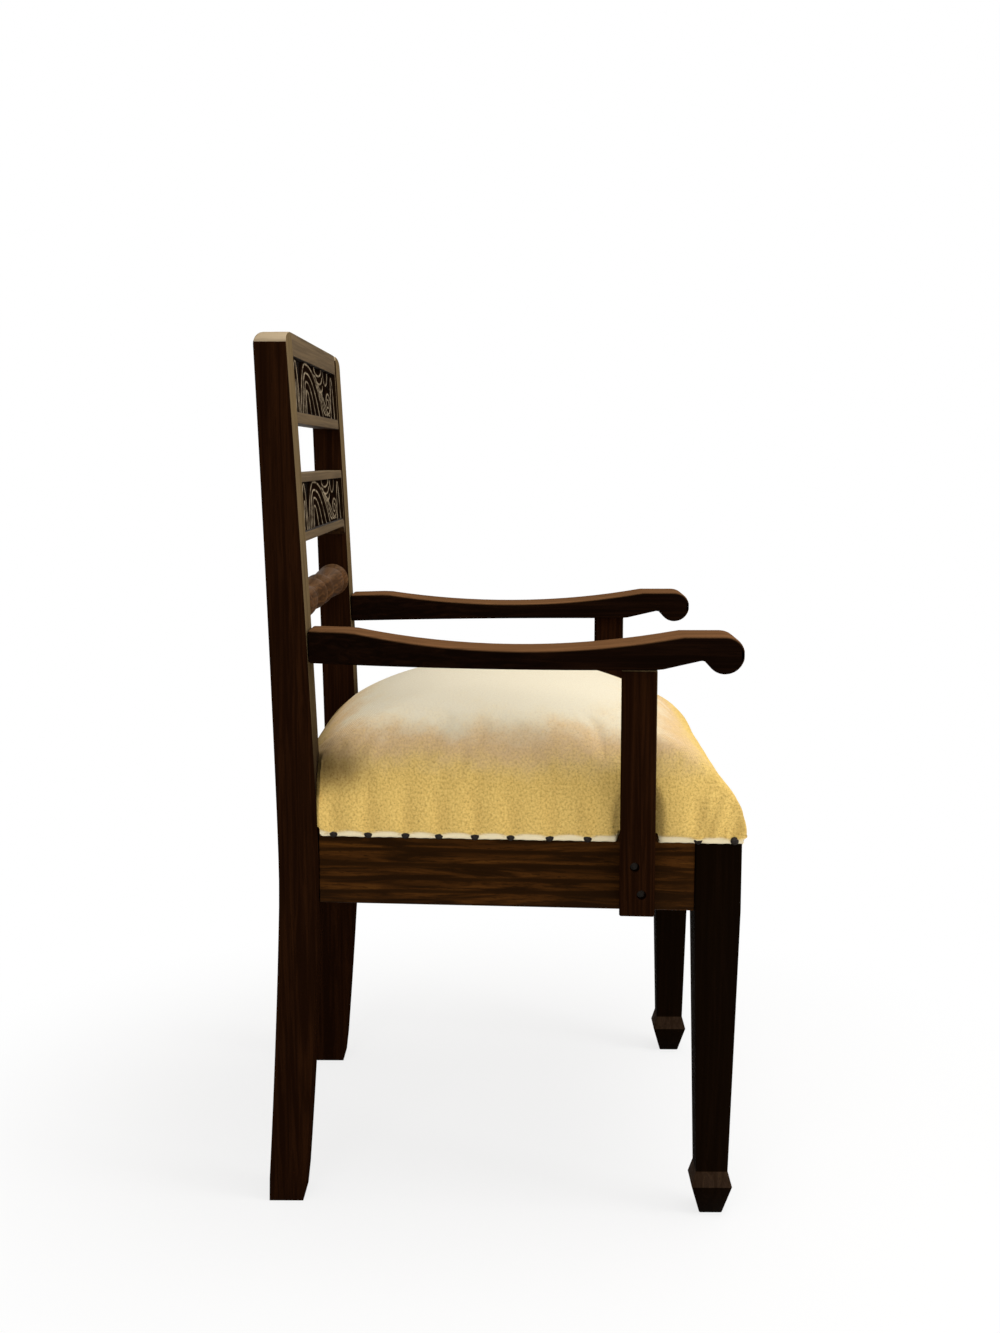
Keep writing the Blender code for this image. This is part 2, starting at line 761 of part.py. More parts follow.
def screw_hole_profile(length):
    """Profile of a counterbored hole for a screw."""
    shoulder = -SCREW_HEAD_LENGTH - FIT
    return [
        (0, 2 * SCREW_SUNK),
        (SCREW_COUNTERBORE, 2 * SCREW_SUNK),
        (SCREW_COUNTERBORE, shoulder),
        (SCREW_RADIUS + FIT, shoulder),
        (SCREW_RADIUS + FIT, -length - FIT),
        (0, -length - FIT),
    ]


def make_screw(name, place, outward, length, hosts):
    """A screw driven against its outward direction, and its hole in the hosts."""
    rotation = outward.to_track_quat("Z", "X").to_euler()
    screw = make_piece(name, profile_mesh(screw_profile(length)), "steel", place, rotation)
    turn_profile(screw, SCREW_SIDES)
    smooth(screw)
    hole = make_cutter(f"{name}_hole", profile_mesh(screw_hole_profile(length)), place, rotation)
    turn_profile(hole, SCREW_SIDES)
    for host in hosts:
        boolean(host, hole, "DIFFERENCE")
    return screw


def make_arm_posts(arms, rails):
    """Two arm posts, screwed to the side rails' outer faces and tenoned into the arms."""
    clearances = []
    height = ARM_BOTTOM - FIT - RAIL_BOTTOM
    for name, side in SIDES.items():
        point, outward, turn = rail_side_frame(side, ARM_POST_Y)
        centre = point + outward * (FIT + ARM_POST_THICK / 2)
        centre.z = RAIL_BOTTOM + height / 2
        size = (ARM_POST_THICK, ARM_POST_WIDE, height)
        post = make_piece(f"arm_post_{name}", box_mesh(size), "dark_teak", centre, (0, 0, turn))
        ease_edges(post)
        length = POST_TENON_LENGTH + TENON_ROOT
        top = Vector((centre.x, centre.y, ARM_BOTTOM - FIT - TENON_ROOT + length / 2))
        tenon = (POST_TENON_THICK, POST_TENON_WIDE, length)
        mortise_and_tenon(post, arms[name], top, tenon, turn)
        grown = [extent + 2 * FIT for extent in size]
        clearances.append(make_cutter(f"{post.name}_room", box_mesh(grown), centre, (0, 0, turn)))
        for level, lean in (("lower", -1), ("upper", 1)):
            along = Vector((-math.sin(turn), math.cos(turn), 0))
            place = centre + outward * (ARM_POST_THICK / 2 - SCREW_SUNK)
            place += along * lean * ARM_SCREW_STAGGER
            place.z = RAIL_BOTTOM + ARM_SCREW_LOW + (ARM_SCREW_RISE if level == "upper" else 0)
            make_screw(
                f"arm_post_screw_{level}_{name}",
                place,
                outward,
                SCREW_LENGTH,
                (post, rails[name]),
            )
    return clearances


def make_corner_blocks(front_rail, back_rail, side_rails):
    """Four corner blocks, each screwed to the two rails it joins."""
    middle = BLOCK_BOTTOM + BLOCK_HEIGHT / 2
    ends = (
        ("front", 1, FRONT_RAIL_INNER, LEG_BACK, LEG_INNER, front_rail),
        ("back", -1, BACK_RAIL_INNER, SIDE_RAIL_END, post_inner(BLOCK_BOTTOM), back_rail),
    )
    for end, inward, rail_face, upright_face, upright_side, cross_rail in ends:
        for name, side in SIDES.items():
            near = rail_face + inward * FIT
            beside = upright_face + inward * 2 * FIT
            far = beside + inward * BLOCK_REACH
            clear = upright_side - FIT
            plan = [
                (side * (clear - BLOCK_REACH), near),
                (side * clear, near),
                (side * clear, beside),
                (side * (side_rail_inner(beside) - FIT), beside),
                (side * (side_rail_inner(far) - FIT), far),
            ]
            block = make_piece(
                f"corner_block_{end}_{name}",
                outline_mesh(plan, BLOCK_HEIGHT),
                "brown_teak",
                (0, 0, middle),
            )
            wing = BLOCK_REACH / 3
            depth = near + inward * (SCREW_SUNK + SCREW_HEAD_LENGTH)
            seat = Vector((side * (clear - wing), depth, middle))
            make_screw(
                f"corner_screw_{end}_{name}_cross",
                seat,
                Vector((0, inward, 0)),
                BLOCK_SCREW_LENGTH,
                (block, cross_rail),
            )
            depth = beside + inward * wing
            point, outward, _ = rail_side_frame(side, depth)
            seat = point - outward * (RAIL_THICK + FIT + SCREW_SUNK + SCREW_HEAD_LENGTH)
            seat.z = middle
            make_screw(
                f"corner_screw_{end}_{name}_side",
                seat,
                -outward,
                BLOCK_SCREW_LENGTH,
                (block, side_rails[name]),
            )


def strap_places(centre):
    """Centre lines of a set of straps."""
    first = -(STRAP_COUNT - 1) / 2
    return [centre + (first + index) * STRAP_SPACING for index in range(STRAP_COUNT)]


def strap_outline(start, end, crossings, first_over):
    """Side outline of a strap that weaves over and under the straps it crosses."""
    line = [(start, STRAP_HIGH)]
    for index, place in enumerate(crossings):
        over = (index % 2 == 0) == first_over
        level = STRAP_HIGH if over else STRAP_LOW
        line += [(place - STRAP_WIDE / 2, level), (place + STRAP_WIDE / 2, level)]
    line.append((end, STRAP_HIGH))
    half = STRAP_THICK / 2
    upper = [(along, height + half) for along, height in line]
    return upper + [(along, height - half) for along, height in reversed(line)]


def make_webbing():
    """Interlaced straps across the underside of the seat frame."""
    lengthwise = strap_places(0)
    crosswise = strap_places((FRONT_RAIL_INNER + BACK_RAIL_INNER) / 2)
    start = FRONT_RAIL_INNER - STRAP_TUCK
    end = BACK_RAIL_INNER + STRAP_TUCK
    for index, place in enumerate(lengthwise):
        mesh = side_outline(strap_outline(start, end, crosswise, index % 2 == 0), STRAP_WIDE)
        make_piece(f"webbing_lengthwise_{index + 1}", mesh, "jute", (place, 0, 0))
    for index, place in enumerate(crosswise):
        reach = side_rail_inner(place + STRAP_WIDE / 2) + STRAP_TUCK
        mesh = front_outline(strap_outline(-reach, reach, lengthwise, index % 2 == 1), STRAP_WIDE)
        make_piece(f"webbing_crosswise_{index + 1}", mesh, "jute", (0, place, 0))
    return lengthwise, crosswise


def spring_points(height):
    """Points along a waisted coil spring, and the least gap between its turns."""
    points = []
    total = SPRING_TURNS * SPRING_POINTS
    for step in range(total + 1):
        share = step / total
        soft = share * share * (3 - 2 * share)
        rise = SPRING_EVENNESS * share + (1 - SPRING_EVENNESS) * soft
        waist = math.sin(math.pi * share) ** 2
        radius = SPRING_END_RADIUS + (SPRING_WAIST_RADIUS - SPRING_END_RADIUS) * waist
        angle = math.pi / 2 + math.tau * SPRING_TURNS * share
        points.append(Vector((radius * math.cos(angle), radius * math.sin(angle), height * rise)))
    gaps = [
        (points[first] - points[second]).length - SPRING_WIRE
        for first in range(total + 1)
        for second in range(first + SPRING_POINTS // 2, total + 1)
    ]
    return points, min(gaps)


def make_springs(lengthwise, crosswise):
    """Five coil springs, on the webbing's corner crossings and at its middle."""
    bottom = STRAP_TOP + FIT + SPRING_WIRE / 2
    reach = STRAP_SPACING * (STRAP_COUNT - 1) / 2 + SPRING_END_RADIUS + SPRING_WIRE
    room = min(SEAT_BACK - SEAT_MIDDLE, seat_half(SEAT_BACK)) - RAIL_THICK
    rise = (CANVAS_CROWN - CANVAS - CANVAS_REST) * dome_lift(reach / room, CANVAS_POWER)
    height = CANVAS_REST + rise - FIT - SPRING_WIRE / 2 - bottom
    points, gap = spring_points(height)
    print(f"least gap of a seat spring to itself: {gap * 1000:.2f} mm")
    last = STRAP_COUNT - 1
    places = [(column, row) for column in (0, last) for row in (0, last)] + [(last // 2, last // 2)]
    for index, (column, row) in enumerate(places):
        curve = bpy.data.curves.new("spring", "CURVE")
        curve.dimensions = "3D"
        curve.bevel_depth = SPRING_WIRE / 2
        curve.bevel_resolution = 1
        curve.use_fill_caps = True
        spline = curve.splines.new("POLY")
        spline.points.add(len(points) - 1)
        for place, point in zip(spline.points, points):
            place.co = (*point, 1)
        centre = (lengthwise[column], crosswise[row], bottom)
        make_piece(f"seat_spring_{index + 1}", curve, "steel", centre)


def seat_ring(inset, scale, height, tilt, across=1):
    """One level line of the seat: a trapezium with rounded corners, drawn in by a scale each way."""
    front = SEAT_FRONT + inset
    back = SEAT_BACK - inset
    corners = [
        Vector((seat_half(front) - inset, front)),
        Vector((seat_half(back) - inset, back)),
        Vector((inset - seat_half(back), back)),
        Vector((inset - seat_half(front), front)),
    ]
    middle = Vector((0, SEAT_MIDDLE))
    corners = [middle + (corner - middle) * Vector((across, scale)) for corner in corners]
    radius = scale * (SEAT_CORNER + (SEAT_CORNER_TOP - SEAT_CORNER) * (1 - scale))
    ring = []
    for index, corner in enumerate(corners):
        before = (corners[index - 1] - corner).normalized()
        following = corners[(index + 1) % len(corners)]
        after = (following - corner).normalized()
        for step in range(SEAT_CORNER_STEPS + 1):
            share = step / SEAT_CORNER_STEPS
            ring.append(corner + radius * ((1 - share) ** 2 * before + share ** 2 * after))
        next_radius = (following - corner).length - 2 * radius
        for step in range(1, SEAT_SIDE_STEPS):
            ring.append(corner + after * (radius + next_radius * step / SEAT_SIDE_STEPS))
    return [Vector((point.x, point.y, height + tilt * (point.y - SEAT_MIDDLE))) for point in ring]


def dome_lift(scale, power):
    """Share of a dome's height that is reached at a scale of its rim."""
    return max(0.0, 1 - scale ** power) ** (1 / power)


def dome_rings(inset, rim, crown, power, side_power, tilt=0.0):
    """Level lines of a stuffed dome, from near its crown out to its rim."""
    rings = []
    for step in range(1, DOME_STEPS + 1):
        scale = math.sin(math.pi / 2 * step / DOME_STEPS)
        lift = dome_lift(scale, power)
        across = dome_lift(lift, side_power)
        rings.append(seat_ring(inset, scale, rim + (crown - rim) * lift, tilt * lift, across))
    return rings


def make_upholstery(posts_room, arm_posts_room):
    """Spring canvas, stuffing and linen cover, each a domed shell over the last."""
    rest = CANVAS_REST
    canvas_outer = dome_rings(CANVAS_LAP, rest + CANVAS, CANVAS_CROWN, CANVAS_POWER, CANVAS_POWER)
    inner_crown = CANVAS_CROWN - CANVAS
    canvas_inner = dome_rings(CANVAS_LAP + CANVAS, rest, inner_crown, CANVAS_POWER, CANVAS_POWER)
    canvas_edge = seat_ring(CANVAS_LAP, 1, rest, 0)
    canvas = loft_mesh(canvas_outer + [canvas_edge] + canvas_inner[::-1])
    canvas = make_piece("spring_canvas", canvas, "jute")

    over = CANVAS_LAP - FIT
    crown = SEAT_CROWN - COVER - FIT
    powers = (SEAT_POWER, SEAT_SIDE_POWER)
    stuffing_outer = dome_rings(COVER + FIT, rest, crown, *powers, SEAT_TILT)
    under_rim = rest + CANVAS + FIT
    under_crown = CANVAS_CROWN + FIT
    stuffing_inner = dome_rings(over, under_rim, under_crown, CANVAS_POWER, CANVAS_POWER)
    stuffing_edge = seat_ring(over, 1, rest, 0)
    stuffing = loft_mesh(stuffing_outer + [stuffing_edge] + stuffing_inner[::-1])
    stuffing = make_piece("seat_stuffing", stuffing, "coir")

    cover_outer = dome_rings(0, RAIL_TOP, SEAT_CROWN, *powers, SEAT_TILT)
    cover_inner = dome_rings(COVER, RAIL_TOP, SEAT_CROWN - COVER, *powers, SEAT_TILT)
    hem = [seat_ring(0, 1, HEM_HEIGHT, 0), seat_ring(COVER, 1, HEM_HEIGHT, 0)]
    cover = loft_mesh(cover_outer + hem + cover_inner[::-1])
    cover = make_piece("seat_cover", cover, "linen")

    for soft in (canvas, stuffing, cover):
        smooth(soft)
        for room in posts_room + arm_posts_room:
            boolean(soft, room, "DIFFERENCE")


def make_posts_room():
    """Shapes that notch the upholstery round the back posts."""
    inner = post_inner(HEM_HEIGHT) - CUSHION_CLEAR
    front = min(post_front(HEM_HEIGHT), post_front(KNEE_HEIGHT)) - CUSHION_CLEAR
    size = (POST_WIDTH * 2, POST_WIDTH * 2, BACK_HEIGHT - RAIL_BOTTOM)
    rooms = []
    for name, side in SIDES.items():
        centre = (side * (inner + size[0] / 2), front + size[1] / 2, RAIL_BOTTOM + size[2] / 2)
        rooms.append(make_cutter(f"back_post_{name}_room", box_mesh(size), centre))
    return rooms


def main():
    """Build the chair."""
    reset_scene()
    shoulders = make_cutter("back_shoulders", front_outline(shoulder_outline(), 2 * DEPTH))
    posts = make_back_posts(shoulders)
    crest = make_panel_rail(
        "crest_rail", CREST_BOTTOM, CREST_HEIGHT, CREST_PANEL_FROM, CREST_PANEL_HEIGHT, posts
    )
    boolean(crest, shoulders, "INTERSECT")
    make_panel_rail(
        "middle_rail", MIDDLE_BOTTOM, MIDDLE_HEIGHT, MIDDLE_PANEL_FROM, MIDDLE_PANEL_HEIGHT, posts
    )
    make_turned_rail(posts)
    legs = make_front_legs()
    side_rails = make_side_rails(legs, posts)
    front_rail = make_cross_rail(
        "front_seat_rail", LEG_INNER - FIT, FRONT_RAIL_OUTER, FRONT_RAIL_INNER, legs, False
    )
    back_rail = make_cross_rail(
        "back_seat_rail", post_inner(0) - FIT, BACK_RAIL_OUTER, BACK_RAIL_INNER, posts, True
    )
    arms = make_arms(posts)
    arm_posts_room = make_arm_posts(arms, side_rails)
    make_corner_blocks(front_rail, back_rail, side_rails)
    make_springs(*make_webbing())
    make_upholstery(make_posts_room(), arm_posts_room)


main()
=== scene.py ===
"""Looks of the colonial armchair: dark teak with carved rails, and a nailed linen seat on springs.

The chair faces -Y, the sitter's right is at -X and +Z is up, in metres. Every piece is fitted to
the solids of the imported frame, and only the finishes and the fine shapes are set here.
"""

import logging
import math
import random
from dataclasses import dataclass, field
from enum import Enum, IntEnum
from typing import Any, Callable, Iterable, Sequence

import bmesh
import bpy
import numpy as np
from mathutils import Matrix, Vector


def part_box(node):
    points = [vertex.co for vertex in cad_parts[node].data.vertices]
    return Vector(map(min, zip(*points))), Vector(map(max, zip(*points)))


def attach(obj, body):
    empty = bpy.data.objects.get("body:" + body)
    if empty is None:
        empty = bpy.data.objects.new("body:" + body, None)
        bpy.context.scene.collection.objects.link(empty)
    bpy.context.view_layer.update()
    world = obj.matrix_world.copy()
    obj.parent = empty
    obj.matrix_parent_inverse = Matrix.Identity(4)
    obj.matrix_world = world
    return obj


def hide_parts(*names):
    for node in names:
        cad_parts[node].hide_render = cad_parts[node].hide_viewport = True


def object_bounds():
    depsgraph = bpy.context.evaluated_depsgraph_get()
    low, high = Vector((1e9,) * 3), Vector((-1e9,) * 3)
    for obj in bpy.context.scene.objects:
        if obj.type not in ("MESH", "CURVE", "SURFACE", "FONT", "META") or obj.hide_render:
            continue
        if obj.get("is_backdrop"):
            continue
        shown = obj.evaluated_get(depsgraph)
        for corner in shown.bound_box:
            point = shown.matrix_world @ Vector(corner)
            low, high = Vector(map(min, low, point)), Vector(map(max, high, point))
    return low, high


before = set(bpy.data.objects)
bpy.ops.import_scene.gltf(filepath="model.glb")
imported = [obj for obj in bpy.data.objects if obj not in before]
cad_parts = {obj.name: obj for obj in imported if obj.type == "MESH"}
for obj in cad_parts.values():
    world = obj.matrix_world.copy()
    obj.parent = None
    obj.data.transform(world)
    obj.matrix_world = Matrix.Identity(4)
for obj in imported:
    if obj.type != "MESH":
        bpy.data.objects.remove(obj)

log = logging.getLogger("armchair")
BODY = "root"
MM = 0.001
TINY = 1e-6
CORNER = math.radians(40)
FACET = 35.0
UNCUT = ((0, 1), (0, 1), (0, 1))
CAD_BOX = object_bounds()
WAVE = math.tau / 20
SOFT = {"interpolation_type": "SMOOTHSTEP"}
Place = Callable[[float, float, float], Vector]


class Axis(Enum):
    """A world axis, as an index into a vector."""

    X = 0
    Y = 1
    Z = 2


class Side(Enum):
    """A side of the chair, as the sign of its X."""

    RIGHT = -1
    LEFT = 1

    @property
    def label(self) -> str:
        """The side's word in the names of the frame's nodes."""
        return self.name.lower()


class Finish(IntEnum):
    """Number of a face's finish in its piece's list."""

    PLAIN = 0
    WORN = 1
    ACCENT = 2


class Part(Enum):
    """Kind of a mesh's parts, as the number of its selection mode."""

    EDGES = 1
    FACES = 2


def linear(code: str) -> tuple[float, float, float, float]:
    """Turn an sRGB hex colour into the linear colour of a shader.

    Args:
        code: Six hex digits after a hash sign.

    Returns:
        Red, green, blue and alpha.
    """
    shares = [int(code[start:start + 2], 16) / 255 for start in (1, 3, 5)]
    steps = [share / 12.92 if share <= 0.04045 else ((share + 0.055) / 1.055) ** 2.4 for share in shares]
    return (*steps, 1.0)


def feed(node: bpy.types.Node, inputs: dict[int | str, Any]) -> None:
    """Set a node's sockets.

    Args:
        node: The node.
        inputs: Socket names or numbers, each with a value or with the socket that feeds it.
    """
    for key, value in inputs.items():
        if isinstance(value, bpy.types.NodeSocket):
            node.id_data.links.new(value, node.inputs[key])
        else:
            node.inputs[key].default_value = value


def add_node(
    tree: bpy.types.NodeTree,
    kind: str,
    inputs: dict[int | str, Any] | None = None,
    out: int | str = 0,
    **settings: Any,
) -> bpy.types.NodeSocket:
    """Add a shader node with its settings, values and links.

    Args:
        tree: Node tree that the node joins.
        kind: Blender's name of the node, after its first word.
        inputs: Socket names or numbers, each with a value or with the socket that feeds it.
        out: Name or number of the socket that comes back.
        settings: Properties of the node.

    Returns:
        That socket of the new node.
    """
    node = tree.nodes.new(f"ShaderNode{kind}")
    for name, value in settings.items():
        setattr(node, name, value)
    feed(node, inputs or {})
    return node.outputs[out]


def new_material(name: str) -> tuple[bpy.types.Material, bpy.types.NodeTree, bpy.types.Node]:
    """Make an empty material.

    Args:
        name: The finish's name.

    Returns:
        The material, its node tree and its shader.
    """
    made = bpy.data.materials.new(name)
    made.use_nodes = True
    tree = made.node_tree
    return made, tree, tree.nodes["Principled BSDF"]


def even(start: float, end: float, steps: int) -> list[float]:
    """Evenly spaced values, both ends among them."""
    return [start + (end - start) * step / steps for step in range(steps + 1)]


def ease(share: float) -> float:
    """Soft step from 0 to 1."""
    share = min(1.0, max(0.0, share))
    return share * share * (3 - 2 * share)


class CadNode:
    """Outline of one node of the frame, read from its mesh."""

    def __init__(self, name: str) -> None:
        """Read the node's edges.

        Args:
            name: The node's name in the frame.
        """
        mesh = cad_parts[name].data
        points = np.array([vertex.co for vertex in mesh.vertices])
        ends = np.array([edge.vertices for edge in mesh.edges])
        self.name = name
        self.low, self.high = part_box(name)
        self.start, self.end = points[ends[:, 0]], points[ends[:, 1]]

    def cut(self, axis: Axis, place: float) -> tuple[Vector, Vector]:
        """Measure the node where a plane cuts it.

        Args:
            axis: Axis that the plane is square to.
            place: Where the plane stands on that axis, moved into the node at its ends.

        Returns:
            Lowest and highest corner of the cut.
        """
        inside = 0.2 * MM
        place = min(max(place, self.low[axis.value] + inside), self.high[axis.value] - inside)
        before = self.start[:, axis.value] - place
        after = self.end[:, axis.value] - place
        crossed = (before * after <= 0) & (before != after)
        share = (before[crossed] / (before[crossed] - after[crossed]))[:, None]
        points = self.start[crossed] + share * (self.end[crossed] - self.start[crossed])
        return Vector(points.min(0)), Vector(points.max(0))


def deselect() -> None:
    """Leave object mode with nothing selected."""
    if bpy.context.object and bpy.context.object.mode != "OBJECT":
        bpy.ops.object.mode_set(mode="OBJECT")
    bpy.ops.object.select_all(action="DESELECT")


def only(obj: bpy.types.Object) -> None:
    """Make one object the selected and active one.

    Args:
        obj: The object.
    """
    deselect()
    obj.select_set(True)
    bpy.context.view_layer.objects.active = obj


def started(name: str) -> bpy.types.Object:
    """Name the primitive that was just added.

    Args:
        name: The piece's name.

    Returns:
        The primitive's object.
    """
    obj = bpy.context.object
    obj.name = name
    obj.data.name = name
    return obj


def select(obj: bpy.types.Object, kind: Part, wanted: Callable[[Any], bool]) -> None:
    """Enter edit mode with only the wanted edges or faces selected.

    Args:
        obj: The piece.
        kind: Whether edges or faces are selected.
        wanted: Test of an edge or a face.
    """
    only(obj)
    bpy.ops.object.mode_set(mode="EDIT")
    bpy.context.tool_settings.mesh_select_mode = [kind.value == number for number in range(3)]
    bpy.ops.mesh.select_all(action="DESELECT")
    shape = bmesh.from_edit_mesh(obj.data)
    for part in shape.edges if kind is Part.EDGES else shape.faces:
        part.select_set(wanted(part))
    bmesh.update_edit_mesh(obj.data)


def is_sharp(edge: bmesh.types.BMEdge) -> bool:
    """Whether an edge is a corner of the wood and not a bend in a curved face."""
    return edge.is_manifold and edge.calc_face_angle() > CORNER


def shaped_block(name: str, cuts: Sequence[Sequence[float]], place: Place) -> bpy.types.Object:
    """Shape a cube: slice it along each axis, then put its points in place.

    Args:
        name: The piece's name.
        cuts: Shares from 0 to 1 where the cube is sliced, for each axis, both ends among them.
        place: Where a point goes, from its shares along the three axes.

    Returns:
        The piece.
    """
    deselect()
    bpy.ops.mesh.primitive_cube_add(size=1)
    block = started(name)
    for axis, shares in enumerate(cuts):
        if len(shares) > 2:
            select(block, Part.EDGES, lambda edge: abs((edge.verts[0].co - edge.verts[1].co)[axis]) > TINY)
            bpy.ops.mesh.subdivide(number_cuts=len(shares) - 2)
    only(block)
    for vertex in block.data.vertices:
        steps = [round((vertex.co[axis] + 0.5) * (len(shares) - 1)) for axis, shares in enumerate(cuts)]
        vertex.co = place(*(shares[step] for shares, step in zip(cuts, steps)))
    return block


def outward(obj: bpy.types.Object) -> None:
    """Merge doubled points and point a closed piece's faces out.

    Args:
        obj: The piece.
    """
    only(obj)
    bpy.ops.object.mode_set(mode="EDIT")
    bpy.ops.mesh.select_all(action="SELECT")
    bpy.ops.mesh.remove_doubles(threshold=TINY)
    bpy.ops.mesh.normals_make_consistent(inside=False)
    bpy.ops.object.mode_set(mode="OBJECT")


def apply_modifier(obj: bpy.types.Object, kind: str, **settings: Any) -> None:
    """Add a modifier with its settings and apply it.

    Args:
        obj: The piece.
        kind: Blender's name of the modifier.
        settings: Properties of the modifier.
    """
    only(obj)
    modifier = obj.modifiers.new(kind.lower(), kind)
    for name, value in settings.items():
        setattr(modifier, name, value)
    bpy.ops.object.modifier_apply(modifier=modifier.name)


def round_edges(
    obj: bpy.types.Object, wanted: Callable[[bmesh.types.BMEdge], bool], radius: float, steps: int
) -> None:
    """Round some corners of a block more than the rest.

    Args:
        obj: The piece.
        wanted: Test of an edge, among the sharp ones.
        radius: How far the rounding reaches from the corner.
        steps: Facets of the rounding.
    """
    select(obj, Part.EDGES, lambda edge: is_sharp(edge) and wanted(edge))
    bpy.ops.mesh.bevel(offset=radius, segments=steps, affect="EDGES", clamp_overlap=True)
    bpy.ops.object.mode_set(mode="OBJECT")


def ease_corners(obj: bpy.types.Object, radius: float, steps: int = 3, clamp: bool = True) -> None:
    """Round every corner that is still sharp, as worn edges in the piece's second finish.

    Args:
        obj: The piece.
        radius: How far the rounding reaches from the corner.
        steps: Facets of the rounding.
        clamp: Whether short faces hold the rounding back.
    """
    apply_modifier(
        obj,
        "BEVEL",
        width=radius,
        segments=steps,
        limit_method="ANGLE",
        angle_limit=CORNER,
        material=Finish.WORN,
        use_clamp_overlap=clamp,
    )
    smooth(obj, FACET)


def smooth(obj: bpy.types.Object, corner: float | None = None) -> None:
    """Shade a piece smooth.

    Args:
        obj: The piece.
        corner: Degrees from which a corner stays sharp, or none for a piece that is round all over.
    """
    only(obj)
    if corner is None:
        bpy.ops.object.shade_smooth()
    else:
        bpy.ops.object.shade_smooth_by_angle(angle=math.radians(corner))


def joined(name: str, parts: Sequence[bpy.types.Object]) -> bpy.types.Object:
    """Join several meshes into one piece.

    Args:
        name: The piece's name.
        parts: The meshes, whose first one stays.

    Returns:
        The piece.
    """
    deselect()
    for part in parts:
        part.select_set(True)
    bpy.context.view_layer.objects.active = parts[0]
    bpy.ops.object.join()
    return started(name)


def dress(
    obj: bpy.types.Object, slot: str, finishes: Sequence[bpy.types.Material], *nodes: str
) -> None:
    """Give a piece its finishes and its place in the frame.

    Args:
        obj: The piece, finished and in place.
        slot: The piece's material slot; not used.
        finishes: The piece's materials, in the order of its faces' numbers.
        nodes: The frame's nodes that the piece stands for.
    """
    numbers = [face.material_index for face in obj.data.polygons]
    obj.data.materials.clear()
    for finish in finishes:
        obj.data.materials.append(finish)
    for face, number in zip(obj.data.polygons, numbers):
        face.material_index = min(number, len(finishes) - 1)
    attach(obj, BODY)
    if nodes:
        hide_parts(*nodes)
    log.info("%s: %d faces", obj.name, len(obj.data.polygons))


def layered(
    tree: bpy.types.NodeTree, ground: str, layers: Iterable[tuple[bpy.types.NodeSocket, str]]
) -> bpy.types.NodeSocket:
    """Lay colours over a ground colour, one after another.

    Args:
        tree: The material's node tree.
        ground: Hex colour of the ground.
        layers: For each layer the socket of its share, and its hex colour.

    Returns:
        Socket of the colour on top.
    """
    colour: Any = linear(ground)
    for share, code in layers:
        colour = add_node(tree, "Mix", {0: share, 6: colour, 7: linear(code)}, 2, data_type="RGBA")
    return colour


def crossed_ribs(
    tree: bpy.types.NodeTree, place: bpy.types.NodeSocket, pitch: float, wander: float
) -> bpy.types.NodeSocket:
    """Height of threads that cross in plain weave.

    Args:
        tree: The material's node tree.
        place: Coordinates that the threads follow, in metres.
        pitch: Distance from thread to thread.
        wander: How uneven the threads are.

    Returns:
        The height's socket.
    """
    values = {"Vector": place, "Scale": WAVE / pitch, "Distortion": wander, "Detail": 2.0}
    ribs = [add_node(tree, "TexWave", values, "Fac", bands_direction=axis) for axis in ("X", "Y")]
    return add_node(tree, "Math", dict(enumerate(ribs)), operation="MULTIPLY")


